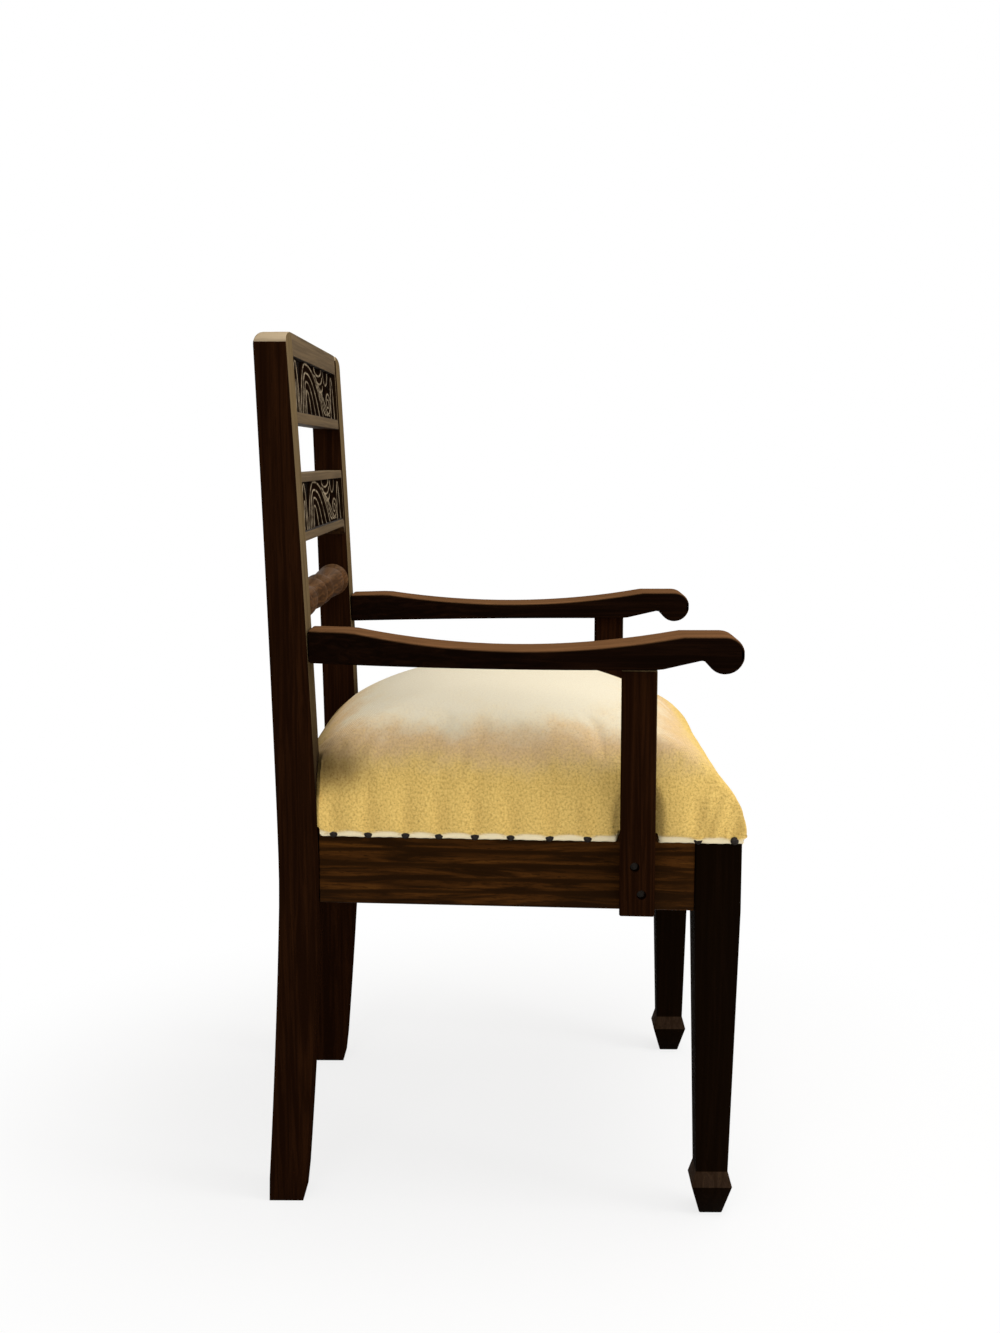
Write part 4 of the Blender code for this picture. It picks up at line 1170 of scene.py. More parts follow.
@dataclass
class PanelRail:
    """A rail of the back with a carved panel sunk in its front."""

    name: str
    node: str
    panel_from: float
    panel_height: float
    margin: float = 4 * MM
    sunk: float = 5 * MM
    edge: float = 1.5 * MM
    crown: float = 0.0
    fillet: float = 0.0
    gap: float = 0.3 * MM
    crown_steps: int = 5
    fine: int = 5
    fine_reach: float = 30 * MM
    bays: int = 6
    front_facing: float = -0.5

    def build(self, carving: Carving) -> None:
        """Model and dress the rail and its carving.

        Args:
            carving: The foliage in the panel.
        """
        node = CadNode(self.node)
        low, high = node.low.z, node.high.z
        face_low, face_high = node.cut(Axis.Z, low + MM), node.cut(Axis.Z, high - MM)
        rake = (face_high[0].y - face_low[0].y) / (high - low - 2 * MM)
        front = face_low[0].y - rake * MM
        thick = face_low[1].y - face_low[0].y
        post = CadNode("back_post_left")
        spread = (post.cut(Axis.Z, high)[0].x - post.cut(Axis.Z, low)[0].x) / (high - low)
        half = post.cut(Axis.Z, low)[0].x - self.gap
        inner = 2 * half
        ends = [self.margin * share / self.fine / inner for share in range(self.fine + 1)]
        ends += [share * self.fine_reach / self.fine / inner for share in range(1, self.fine + 1)]
        ends = sorted(set(ends))
        across = ends + even(0, 1, self.bays)[1:-1] + [1 - share for share in reversed(ends)]
        panel_to = self.panel_from + self.panel_height
        levels = [0, self.panel_from / (high - low), panel_to / (high - low), 1]

        def place(u: float, v: float, w: float) -> Vector:
            """Where a point of the rail goes.

            Args:
                u: Share across.
                v: Share from front to back.
                w: Share up.

            Returns:
                The point.
            """
            x = (2 * u - 1) * half
            top = node.cut(Axis.X, x)[1].z
            clear = max(0.0, 1 - (half - abs(x)) / self.fillet) if self.fillet else 0.0
            bottom = low - self.fillet * clear * clear
            height = bottom + w * (top - bottom)
            out = (2 * u - 1) * spread * (height - low)
            return Vector((x + out, front + rake * (height - low) + v * thick, height))

        rail = shaped_block(self.name, (across, (0, 1), levels), place)
        outward(rail)
        if self.crown:
            limit = high - self.crown
            middle_y = front + rake * (high - low) + thick / 2

            def rolled(edge: bmesh.types.BMEdge) -> bool:
                """Whether an edge of the top rolls over towards the back."""
                ends = [vert.co for vert in edge.verts]
                return min(end.z for end in ends) > limit and min(end.y for end in ends) > middle_y

            round_edges(rail, rolled, self.crown, self.crown_steps)
        panel_low, panel_high = low + self.panel_from, low + panel_to
        reach = half - self.margin

        def in_panel(face: bmesh.types.BMFace) -> bool:
            """Whether a face of the front lies in the panel.

            Args:
                face: A face of the rail.

            Returns:
                True where the panel is sunk.
            """
            middle = face.calc_center_median()
            forward = face.normal.y < self.front_facing
            return forward and panel_low < middle.z < panel_high and abs(middle.x) < reach

        select(rail, Part.FACES, in_panel)
        bpy.ops.mesh.extrude_region_move(TRANSFORM_OT_translate={"value": (0, self.sunk, 0)})
        bpy.ops.object.mode_set(mode="OBJECT")
        # Walls of the sunk panel, apart from its ends, take the near-black teak as painted shade.
        for face in rail.data.polygons:
            behind = face.center.y - front - rake * (face.center.z - low)
            if MM < behind < self.sunk + MM and panel_low - MM < face.center.z < panel_high + MM:
                face.material_index = Finish.ACCENT if abs(face.center.x) < half - MM else Finish.PLAIN
        ease_corners(rail, self.edge)
        dress(rail, "brown_teak", Woods.along(Axis.X, RAIL, RAIL_WORN, SHADED_RECESS), self.node)
        floor = front + rake * self.panel_from + self.sunk
        widen = reach + spread * self.panel_from
        panel = carving.build(
            f"{self.name}_carving",
            Vector((-widen, floor, panel_low)),
            Vector((widen, floor, panel_high)),
            rake,
            spread,
        )
        dress(panel, "brown_teak", [CarvedTeak().build()])


@dataclass
class TurnedRail:
    """The ring-turned rail of the back."""

    core: float = 11 * MM
    swell: float = 8 * MM
    swell_at: float = 0.68
    swell_reach: float = 0.36
    bead: float = 7.5 * MM
    beads: tuple[float, ...] = (0.155, 0.93)
    bead_reach: float = 0.11
    groove: float = 2.2 * MM
    groove_reach: float = 0.02
    grooves: tuple[float, ...] = (0.36, 0.80)
    steps: int = 220
    sides: int = 48
    facet: float = 50.0

    def radius(self, share: float) -> float:
        """Radius at a share of the rail's half length.

        Args:
            share: From 0 at the middle to 1 at an end.

        Returns:
            The radius.
        """

        def bump(distance: float, reach: float) -> float:
            """Soft hump round a place."""
            return math.cos(math.pi / 2 * distance / reach) ** 2 if abs(distance) < reach else 0.0

        size = self.core + self.swell * bump(share - self.swell_at, self.swell_reach)
        size += self.bead * max(math.sqrt(bump(share - bead, self.bead_reach)) for bead in self.beads)
        return size - self.groove * max(bump(share - groove, self.groove_reach) for groove in self.grooves)

    def build(self) -> None:
        """Model and dress the rail."""
        node = CadNode("turned_rail")
        low, high = node.cut(Axis.X, 0.0)
        centre = (low + high) / 2
        post = CadNode("back_post_left")
        half = post.cut(Axis.Z, centre.z)[0].x
        deselect()
        bpy.ops.mesh.primitive_cylinder_add(vertices=self.sides, radius=self.core, depth=1)
        rail = started("ring_turned_rail")
        select(rail, Part.EDGES, lambda edge: abs(edge.verts[0].co.z - edge.verts[1].co.z) > 0.5)
        bpy.ops.mesh.subdivide(number_cuts=self.steps)
        only(rail)
        for vertex in rail.data.vertices:
            size = self.radius(abs(2 * vertex.co.z)) / self.core
            x = 2 * vertex.co.z * half
            vertex.co = Vector((x, centre.y + vertex.co.x * size, centre.z + vertex.co.y * size))
        outward(rail)
        smooth(rail, self.facet)
        dress(rail, "brown_teak", Woods.along(Axis.X, RED), "turned_rail")


@dataclass
class FrontLegs:
    """The tapered front legs with spade feet, and the rosette on each leg's front."""

    edge: float = 1.4 * MM
    spade_wide: float = 33 * MM
    spade_neck: float = 49 * MM
    knee: float = 0.338
    petals: int = 8
    petal_blunt: float = 0.6
    petal_round: float = 0.7
    petal_rise: float = 0.85
    petal_floor: float = 0.1
    petal_from: float = 0.27
    heart: float = 0.3
    face_above: float = 1.3
    rosette_height: float = 0.2865
    rosette_radius: float = 13.5 * MM
    rosette_rise: float = 3.2 * MM
    rings: int = 14
    sides: int = 64

    def build(self) -> None:
        """Model and dress both legs and their rosettes."""
        for side in Side:
            node = CadNode(f"front_leg_{side.label}")
            tall = node.high.z
            heights = [0.0, self.spade_wide, self.spade_neck, self.knee, tall]

            def place(u: float, v: float, w: float) -> Vector:
                """Where a point of the leg goes, from its shares across, back and up."""
                low, high = node.cut(Axis.Z, w * tall)
                return Vector((low.x + u * (high.x - low.x), low.y + v * (high.y - low.y), w * tall))

            cuts = ((0, 1), (0, 1), [height / tall for height in heights])
            leg = shaped_block(f"spade_leg_{side.label}", cuts, place)
            outward(leg)
            # Each spade foot takes the paler teak from its widest point up to its neck.
            for face in leg.data.polygons:
                if self.spade_wide < face.center.z < self.spade_neck:
                    face.material_index = Finish.ACCENT
            ease_corners(leg, self.edge)
            dress(leg, "dark_teak", Woods.along(Axis.Z, LEG, LEG_WORN, LEG_SHOULDER), node.name)
            self.rosette(node, side)

    def rosette(self, node: CadNode, side: Side) -> None:
        """Carve the rosette on a leg's front.

        Args:
            node: The frame's leg.
            side: The leg's side.
        """
        middle = (node.low.x + node.high.x) / 2
        face = node.cut(Axis.Z, self.rosette_height + self.face_above * self.rosette_radius)[0].y
        deselect()
        bpy.ops.mesh.primitive_cylinder_add(
            vertices=self.sides,
            radius=self.rosette_radius,
            depth=self.rosette_rise,
            end_fill_type="TRIFAN",
        )
        flower = started(f"leg_rosette_{side.label}")
        top = self.rosette_rise / 2

        def spoke(edge: bmesh.types.BMEdge) -> bool:
            """Whether an edge runs from the middle of the top to its rim."""
            ends = [vert.co for vert in edge.verts]
            return min(end.z for end in ends) > top - TINY and min(end.xy.length for end in ends) < TINY

        select(flower, Part.EDGES, spoke)
        bpy.ops.mesh.subdivide(number_cuts=self.rings)
        only(flower)
        for vertex in flower.data.vertices:
            out = vertex.co.xy.length / self.rosette_radius
            turn = math.atan2(vertex.co.y, vertex.co.x)
            lift = vertex.co.z
            if vertex.co.z > 0:
                petal = abs(math.cos(self.petals / 2 * turn)) ** self.petal_blunt
                if out < self.heart:
                    lift = top * (0.5 + 0.5 * math.sqrt(1 - (out / self.heart) ** 2))
                else:
                    share = min(1.0, (out - self.petal_from) / (1 - self.petal_from))
                    hump = max(0.0, math.sin(math.pi * share)) ** self.petal_round
                    lift = top * (self.petal_floor + self.petal_rise * petal * hump)
            vertex.co = Vector((middle + vertex.co.x, face - lift, self.rosette_height + vertex.co.y))
        outward(flower)
        smooth(flower)
        dress(flower, "dark_teak", Woods.along(Axis.Z, LEG_WORN))


@dataclass
class SeatRails:
    """The four seat rails under the upholstery."""

    edge: float = 1.5 * MM
    inside: float = 0.4 * MM
    level: float = 0.39

    def build(self) -> None:
        """Model and dress the rails."""
        leg_back = CadNode("front_leg_left").cut(Axis.Z, self.level)[1].y
        post = CadNode("back_post_left")
        for side in Side:
            node = CadNode(f"side_seat_rail_{side.label}")
            post_front = post.cut(Axis.Z, (node.low.z + node.high.z) / 2)[0].y
            ends = (leg_back + self.inside, post_front - self.inside)

            def place(u: float, v: float, w: float) -> Vector:
                """Where a point of the rail goes.

                Args:
                    u: Share across.
                    v: Share from front to back.
                    w: Share up.

                Returns:
                    The point.
                """
                y = ends[0] + v * (ends[1] - ends[0])
                low, high = node.cut(Axis.Y, min(max(y, ends[0] + MM), ends[1] - MM))
                return Vector((low.x + u * (high.x - low.x), y, low.z + w * (high.z - low.z)))

            rail = shaped_block(f"seat_rail_{side.label}", UNCUT, place)
            outward(rail)
            ease_corners(rail, self.edge)
            dress(rail, "brown_teak", Woods.along(Axis.Y, BROWN, BROWN_WORN), node.name)
        self.cross_rail("front", CadNode("front_leg_left").cut(Axis.Z, self.level)[0].x)
        self.cross_rail("back", post.cut(Axis.Z, self.level)[0].x)

    def cross_rail(self, end: str, reach: float) -> None:
        """Model and dress the front or back rail.

        Args:
            end: Word for the end of the seat.
            reach: Where the upright's inner face stands.
        """
        node = CadNode(f"{end}_seat_rail")
        low, high = node.cut(Axis.X, 0.0)
        half = reach - self.inside
        rail = shaped_block(
            f"seat_rail_{end}",
            UNCUT,
            lambda u, v, w: Vector(
                ((2 * u - 1) * half, low.y + v * (high.y - low.y), low.z + w * (high.z - low.z))
            ),
        )
        outward(rail)
        ease_corners(rail, self.edge)
        dress(rail, "brown_teak", Woods.along(Axis.X, BROWN, BROWN_WORN), node.name)


@dataclass
class Arms:
    """The scrolled arms and the posts that carry them."""

    edge: float = 3.2 * MM
    post_edge: float = 2.0 * MM
    length_steps: int = 40
    scroll: float = 39 * MM
    scroll_steps: int = 30
    scroll_from: float = 0.18
    neck: float = 1.05
    curl: float = 0.95
    tip: float = 0.32 * MM
    tip_inside: float = 0.1 * MM
    recess: float = 5.0 * MM
    recess_deep: float = 3.2 * MM
    recess_sides: int = 28
    drill: float = 24 * MM
    back_gap: float = 0.4 * MM
    top_gap: float = 0.3 * MM
    rail_run: float = 0.2
    lap_above: float = 0.07

    def build(self) -> None:
        """Model and dress the arms and their posts."""
        post = CadNode("back_post_left")
        for side in Side:
            node = CadNode(f"arm_{side.label}")
            back = post.cut(Axis.Z, (node.low.z + node.high.z) / 2)[0].y - self.back_gap
            self.arm(node, side, back)
            self.arm_post(side)

    def arm(self, node: CadNode, side: Side, back: float) -> None:
        """Model and dress an arm.

        Args:
            node: The frame's arm.
            side: The arm's side.
            back: Where its visible length ends at the back post.
        """
        tip = node.low.y + self.tip
        radius = self.scroll / 2
        middle = node.low.y + radius
        scroll_z = sum(corner.z for corner in node.cut(Axis.Y, middle)) / 2
        turns = even(self.scroll_from, math.pi, self.scroll_steps)
        places = [max(tip, node.low.y + radius * (1 - math.cos(turn))) for turn in turns]
        places += even(node.low.y + self.neck * self.scroll, back, self.length_steps)
        shares = [(place - tip) / (back - tip) for place in places]

        def place(u: float, v: float, w: float) -> Vector:
            """Where a point of the arm goes.

            Args:
                u: Share across.
                v: Share from front to back.
                w: Share up.

            Returns:
                The point.
            """
            y = tip + v * (back - tip)
            low, high = node.cut(Axis.Y, min(max(y, tip + self.tip_inside), back - MM))
            bottom = low.z
            if 0 < y - middle < self.curl * radius:
                bottom = min(bottom, scroll_z - math.sqrt(radius ** 2 - (y - middle) ** 2))
            return Vector((low.x + u * (high.x - low.x), y, bottom + w * (high.z - bottom)))

        arm = shaped_block(f"scrolled_arm_{side.label}", ((0, 0.5, 1), shares, (0, 1)), place)
        outward(arm)
        ease_corners(arm, self.edge, clamp=False)
        dress(arm, "dark_teak", Woods.along(Axis.Y, ARM, ARM_WORN), node.name)

    def arm_post(self, side: Side) -> None:
        """Model and dress an arm post, with its two screw recesses.

        Args:
            side: The post's side.
        """
        node = CadNode(f"arm_post_{side.label}")
        rail = CadNode(f"side_seat_rail_{side.label}")
        outer = 1 if side is Side.LEFT else 0
        ends = (-self.rail_run / 2, self.rail_run / 2)
        near, far = (rail.cut(Axis.Y, y)[outer].x for y in ends)
        turn = math.atan((near - far) / self.rail_run)
        middle = (node.low + node.high) / 2
        level = node.cut(Axis.Z, middle.z + self.lap_above)
        wide, thick = level[1].y - level[0].y, level[1].x - level[0].x
        spin, lean = abs(math.sin(turn)), math.cos(turn)
        deep = (wide - thick * spin) / (lean - spin * spin)
        slim = (thick - deep * spin) / lean
        top = CadNode(f"arm_{side.label}").cut(Axis.Y, middle.y)[0].z - self.top_gap
        rotation = Matrix.Rotation(turn, 3, "Z")

        def place(u: float, v: float, w: float) -> Vector:
            """Where a point of the post goes, from its shares across, back and up."""
            corner = rotation @ Vector(((u - 0.5) * slim, (v - 0.5) * deep, 0))
            return Vector((middle.x + corner.x, middle.y + corner.y, node.low.z + w * (top - node.low.z)))

        post = shaped_block(f"arm_upright_{side.label}", UNCUT, place)
        outward(post)
        ease_corners(post, self.post_edge)
        for level_name in ("lower", "upper"):
            low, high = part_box(f"arm_post_screw_{level_name}_{side.label}")
            head = (low + high) / 2
            deselect()
            bpy.ops.mesh.primitive_cylinder_add(
                vertices=self.recess_sides,
                radius=self.recess,
                depth=self.drill,
                rotation=(0, math.pi / 2, turn),
            )
            drill = started("drill")
            face = high.x if side is Side.LEFT else low.x
            drill.location = (face + side.value * (self.drill / 2 - self.recess_deep), head.y, head.z)
            bpy.context.view_layer.update()
            apply_modifier(post, "BOOLEAN", object=drill, operation="DIFFERENCE")
            bpy.data.objects.remove(drill)
        smooth(post, FACET)
        dress(post, "dark_teak", Woods.along(Axis.Z, DARK, DARK_WORN), node.name)


@dataclass
class Seat:
    """The sprung, stuffed and nailed seat."""

    HEM = "hem_share"

    rim: float = 0.420
    crown: float = 0.557
    power: float = 2.1
    side_power: float = 3.0
    tilt: float = 0.035
    wide_at: tuple[float, float] = (-0.19, 0.15)
    post_levels: tuple[float, ...] = (0.37, 0.42, 0.5)
    hem: float = 0.4095
    skirt: float = 0.90
    turn_in: float = 0.97
    cloth_thick: float = 1.5 * MM
    roundness: float = 0.85
    corner_soft: float = 0.005
    square_to: float = 0.25
    cells: int = 160
    base_cells: int = 60
    clear: float = 1.2 * MM
    nail_spacing: float = 38 * MM
    nail_jitter: float = 2.5 * MM
    nail_near: float = 12 * MM
    nail_far: float = 14 * MM
    nail_radius: float = 4.6 * MM
    nail_rise: float = 3.0 * MM
    nail_under: float = 0.25
    nail_neck: float = 0.96
    nail_sides: int = 16
    nail_rings: int = 10
    nail_height: float = 0.4138
    pucker: float = 2.6 * MM
    pucker_wide: float = 9 * MM
    pucker_reach: float = 26 * MM
    swell: float = 3.0 * MM
    swell_reach: float = 55 * MM
    lip: float = 1.6 * MM
    hem_wave: float = 0.4 * MM
    turn_over: float = 0.4 * MM
    post_lift: float = 0.3 * MM
    strip: float = 3.2 * MM
    scallop: float = 3.0 * MM
    hem_share: float = 0.85
    strip_deep: float = 1.3 * MM
    flush: float = 1.4 * MM
    flush_slope: float = 0.8
    hem_wander: float = 0.8 * MM
    swell_early: float = 0.7
    roll: float = 2.2 * MM
    roll_reach: float = 14 * MM
    pleats: tuple[float, ...] = (13 * MM, 26 * MM, 41 * MM)
    pleat_deep: float = 3.0 * MM
    pleat_wide: float = 3.6 * MM
    pleat_lean: float = 0.3
    pleat_reach: float = 24 * MM
    pleat_rim: float = 0.5
    pleat_step: float = 2.0
    hollow: float = 11 * MM
    tuck: float = 12 * MM
    tuck_lip: float = 1.8 * MM
    tuck_deep: float = 9 * MM
    spare_cloth: float = 0.01
    pressure: float = 4.0
    settle_frames: int = 20
    settle_cap: float = 4 * MM
    lining_crown: float = 0.4715
    lining_power: float = 8.0
    lining_inset: float = 17.8 * MM
    lining_round: tuple[float, float] = (0.05, 0.3)
    base_lap: float = 2 * MM
    base_gap: float = 0.8 * MM
    canvas: float = 1.2 * MM
    wire: float = 3.5 * MM
    spring_count: int = 5
    spring_turns: int = 5
    spring_waist: float = 0.29
    spring_even: float = 0.35
    turn_steps: int = 32
    strap_count: int = 3
    strap_steps: int = 72
    strap_lanes: int = 6
    strap_end: float = 0.2 * MM
    seed: int = 4
    nails: list[tuple[Vector, Vector]] = field(default_factory=list)

    def __post_init__(self) -> None:
        """Measure the seat and its neighbours in the frame."""
        cover = CadNode("seat_cover")
        self.front, self.back = cover.low.y, cover.high.y
        near, far = (cover.cut(Axis.Y, y)[1].x for y in self.wide_at)
        self.slope = (near - far) / (self.wide_at[1] - self.wide_at[0])
        self.middle_half = near + self.slope * self.wide_at[0]
        post = CadNode("back_post_left")
        self.post_inner = post.cut(Axis.Z, self.hem)[0].x - self.clear
        self.post_front = min(post.cut(Axis.Z, height)[0].y for height in self.post_levels) - self.clear
        arm = CadNode("arm_post_left")
        level = arm.cut(Axis.Z, self.post_levels[-1])
        self.arm_y = (level[0].y + level[1].y) / 2
        self.arm_half = (level[1].y - level[0].y) / 2 + MM
        self.arm_inner = level[0].x - self.clear / 2
        self.middle = (self.front + self.back) / 2

    def half(self, y: float) -> float:
        """Half of the seat's width at a depth."""
        return self.middle_half - self.slope * y

    def build(self) -> None:
        """Model and dress the seat from its springs out."""
        self.place_nails()
        self.cushion()
        self.springs()
        self.lining()
        self.webbing()
        self.nail_heads()

    def place_nails(self) -> None:
        """Set out the nails along the hem, a little unevenly."""
        draw = random.Random(self.seed)
        for side in Side:
            start, end = self.front + self.nail_near, self.post_front - self.nail_far
            count = round((end - start) / self.nail_spacing)
            for y in even(start, end, count):
                y += draw.uniform(-1, 1) * self.nail_jitter
                if abs(y - self.arm_y) > self.arm_half + self.nail_radius:
                    out = Vector((side.value, self.slope, 0)).normalized()
                    spot = Vector((side.value * (self.half(y) - self.lip), y, self.nail_height))
                    self.nails.append((spot, out))
        for y, out, reach in (
            (self.front + self.lip, -1, self.half(self.front) - self.nail_far),
            (self.back - self.lip, 1, self.post_inner - self.nail_near),
        ):
            count = round(2 * reach / self.nail_spacing)
            for x in even(-reach, reach, count):
                x += draw.uniform(-1, 1) * self.nail_jitter
                self.nails.append((Vector((x, y, self.nail_height)), Vector((0, out, 0))))

    def ring(self, a: float, b: float, inset: float, roundness: float) -> tuple[float, float]:
        """Point on the seat's outline in the direction of a grid point.

        Args:
            a: Grid place across, from -1 to 1.
            b: Grid place from front to back, from -1 to 1.
            inset: How far the outline lies inside the hem.
            roundness: How round its corners are, from 0 to 1.

        Returns:
            Places across and along on the outline.
        """
        share = max(abs(a), abs(b))
        if share < TINY:
            return 0.0, self.middle
        a, b = a / share, b / share
        round_a, round_b = a * math.sqrt(1 - b * b / 2), b * math.sqrt(1 - a * a / 2)
        a, b = a + (round_a - a) * roundness, b + (round_b - b) * roundness
        y = self.middle + b * ((self.back - self.front) / 2 - inset)
        return a * (self.half(y) - inset), y

    def outer(self, a: float, b: float) -> Vector:
        """Where a grid point lies on the cover.

        Args:
            a: Grid place across, from -1 to 1.
            b: Grid place from front to back, from -1 to 1.

        Returns:
            The point.
        """
        share = max(abs(a), abs(b))
        along = min(1.0, share / self.skirt)
        lift = math.cos(math.pi / 2 * along) ** (2 / self.power) if along < 1 else 0.0
        out = math.sin(math.pi / 2 * along) ** (2 / self.power)
        across = max(0.0, 1 - lift ** self.side_power) ** (1 / self.side_power)
        soft = self.corner_soft + self.roundness * ease((lift - self.square_to) / (1 - self.square_to))
        under = max(0.0, share - self.turn_in) / (1 - self.turn_in)
        x, y = self.ring(a, b, self.cloth_thick * min(1.0, 2 * under), soft)
        x, y = x * across, self.middle + (y - self.middle) * out
        z = self.rim + (self.crown - self.rim) * lift + self.tilt * lift * (y - self.middle)
        point = Vector((x, y, z))
        edge = self.hem + self.hem_wave * math.sin(140 * x + 190 * y) * math.cos(310 * y - 90 * x)
        if share > self.skirt:
            down = min(1.0, (share - self.skirt) / (self.turn_in - self.skirt))
            point.z = self.rim + (edge - self.rim) * down
            point.z += (self.rim + self.turn_over - edge) * under
        return self.clear_of_posts(self.drawn_in(point, self.pull(point)))

    def pull(self, point: Vector) -> float:
        """How near a point is to a nail, from 0 between two nails to 1 at one."""
        nearest = min((point.xy - spot.xy).length for spot, _ in self.nails)
        return math.exp(-((nearest / self.pucker_wide) ** 2))

    def hem_top(self, pull: float) -> float:
        """Height of the hem's upper edge, which rises between two nails."""
        return self.hem + self.strip + self.scallop * (1 - pull)

    def mark_hem(self, cover: bpy.types.Object) -> None:
        """Write down how far each point of the cover lies on its pale hem.

        Args:
            cover: The open cover.
        """
        attribute = cover.data.attributes.new(self.HEM, "FLOAT", "POINT")
        for vertex, share in zip(cover.data.vertices, attribute.data):
            if vertex.co.z < self.rim:
                over = vertex.co.z - self.hem_top(self.pull(vertex.co))
                share.value = self.hem_share * (1 - ease(over / self.strip))

    def drawn_in(self, point: Vector, pull: float) -> Vector:
        """Draw a point of the cover in at the nails and fold it at the front corners.

        Args:
            point: A point of the smooth dome.
            pull: How near it is to a nail.

        Returns:
            The point with puckers and pleats.
        """
        deep = self.middle - self.front
        out = Vector((point.x / self.half(point.y), (point.y - self.middle) / deep, 0))
        if out.length < TINY:
            return point
        side = Vector((math.copysign(1, out.x), 0, 0))
        if abs(out.y) > abs(out.x):
            side = Vector((0, math.copysign(1, out.y), 0))
        height = max(0.0, point.z - self.nail_height)
        fade = math.exp(-height / self.pucker_reach)
        wander = self.hem_wander * math.sin(90 * point.x + 230 * point.y) * math.cos(170 * point.y)
        below = ease((point.z - self.hem_top(pull) + wander) / self.strip)
        fade *= ease(height / (2 * self.strip))
        bulge = math.sin(math.pi * min(1.0, height / self.swell_reach) ** self.swell_early)
        shift = below * (self.swell * bulge * (1 - pull) - pull * self.pucker * fade)
        shift += self.roll * below * math.exp(-height / self.roll_reach) - self.strip_deep * (1 - below)
        if point.y < self.middle:
            corner = Vector((math.copysign(self.half(self.front), point.x), self.front))
            far = (point.xy - corner).length
            for pleat in self.pleats:
                gap = (far - pleat + self.pleat_lean * height) / self.pleat_wide
                rim = self.pleat_rim * math.exp(-((gap - self.pleat_step) ** 2))
                fold = math.exp(-gap * gap) - rim
                shift -= self.pleat_deep * fold * below * math.exp(-height / self.pleat_reach)
        shift = max(shift, -self.flush - self.flush_slope * max(0.0, point.z - self.rim))
        return point + side * shift

    def clear_of_posts(self, point: Vector) -> Vector:
        """Tuck a point of the cover round the arm posts and back posts.

        Args:
            point: A point of the puckered cover.

        Returns:
            The tucked point.
        """
        sign = math.copysign(1, point.x)
        x, y, z = abs(point.x), point.y, point.z
        beside = abs(y - self.arm_y) - self.arm_half
        if beside < 0:
            if x > self.arm_inner:
                x, z = self.arm_inner, max(z, self.rim + self.post_lift)
        elif beside < self.tuck:
            x = min(x, self.arm_inner + self.tuck_lip + self.tuck_deep * ease(beside / self.tuck))
        past = y - self.post_front
        reach = 3 * self.hollow
        beside_post = ease((x - self.post_inner + reach) / reach) * math.exp(-abs(past) / self.hollow)
        x -= self.hollow * beside_post * ease((z - self.rim - self.hollow) / reach)
        over = x - self.post_inner
        if over > 0 and past > 0:
            z = max(z, self.rim + self.post_lift)
            if over < past:
                x = self.post_inner
            else:
                y = self.post_front
        return Vector((sign * x, y, z))

    def inner(self, a: float, b: float) -> Vector:
        """Where a grid point lies on the stuffing's underside, over the spring canvas.

        Args:
            a: Grid place across, from -1 to 1.
            b: Grid place from front to back, from -1 to 1.

        Returns:
            The point.
        """
        return self.dome(a, b, self.lining_inset - self.base_lap, self.lining_crown + self.base_gap)

    def dome(self, a: float, b: float, inset: float, crown: float) -> Vector:
        """Where a grid point lies on the flat dome over the springs.

        Args:
            a: Grid place across, from -1 to 1.
            b: Grid place from front to back, from -1 to 1.
            inset: How far its edge lies inside the hem.
            crown: Height of its top.

        Returns:
            The point.
        """
        share = max(abs(a), abs(b))
        lift = max(0.0, 1 - share ** self.lining_power) ** (1 / self.lining_power)
        edge_round, crown_round = self.lining_round
        x, y = self.ring(a, b, inset, edge_round + crown_round * (1 - share))
        point = Vector((x * share, self.middle + (y - self.middle) * share, 0))
        point.z = self.rim + MM + (crown - self.rim - MM) * lift
        return self.clear_of_posts(point)

    def cloth(self, name: str, place: Callable[[float, float], Vector], cells: int) -> bpy.types.Object:
        """Lay a grid over a form, with a UV map in metres that its weave follows.

        Args:
            name: The piece's name.
            place: Where a grid point goes.
            cells: Faces along each side of the grid.

        Returns:
            The open cloth.
        """
        deselect()
        bpy.ops.mesh.primitive_grid_add(x_subdivisions=cells, y_subdivisions=cells, size=2)
        cloth = started(name)
        grid = [vertex.co.copy() for vertex in cloth.data.vertices]
        for vertex, spot in zip(cloth.data.vertices, grid):
            vertex.co = place(spot.x, spot.y)
        drop = self.fall_lengths(place)
        layer = cloth.data.uv_layers[0].data
        for face in cloth.data.polygons:
            middle = sum((grid[index] for index in face.vertices), Vector()) / len(face.vertices)
            for loop in face.loop_indices:
                index = cloth.data.loops[loop].vertex_index
                spot, point = grid[index], cloth.data.vertices[index].co
                share = max(abs(spot.x), abs(spot.y)) * (len(drop) - 1)
                run = drop[min(round(share), len(drop) - 1)]
                if abs(middle.x) > abs(middle.y):
                    layer[loop].uv = (math.copysign(run, middle.x), point.y)
                else:
                    layer[loop].uv = (point.x, math.copysign(run, middle.y))
        return cloth

    def fall_lengths(self, place: Callable[[float, float], Vector]) -> list[float]:
        """Length of cloth from the crown out to each share of the grid.

        Args:
            place: Where a grid point goes.

        Returns:
            The lengths.
        """
        points = [place(share, 0.0) for share in even(0, 1, self.cells // 2)]
        runs = [0.0]
        for start, end in zip(points, points[1:]):
            runs.append(runs[-1] + (end - start).length)
        return runs

    def cushion(self) -> None:
        """Model and dress the stuffed cover."""
        cover = self.cloth("linen_seat", self.outer, self.cells)
        self.settle(cover)
        self.mark_hem(cover)
        base = self.cloth("stuffing_base", self.inner, self.base_cells)
        seat = joined("linen_seat", [cover, base])
        select(seat, Part.EDGES, lambda edge: edge.is_boundary)
        bpy.ops.mesh.bridge_edge_loops()
        outward(seat)
        smooth(seat)
        dress(seat, "linen", [Linen().build()], "seat_cover", "seat_stuffing")

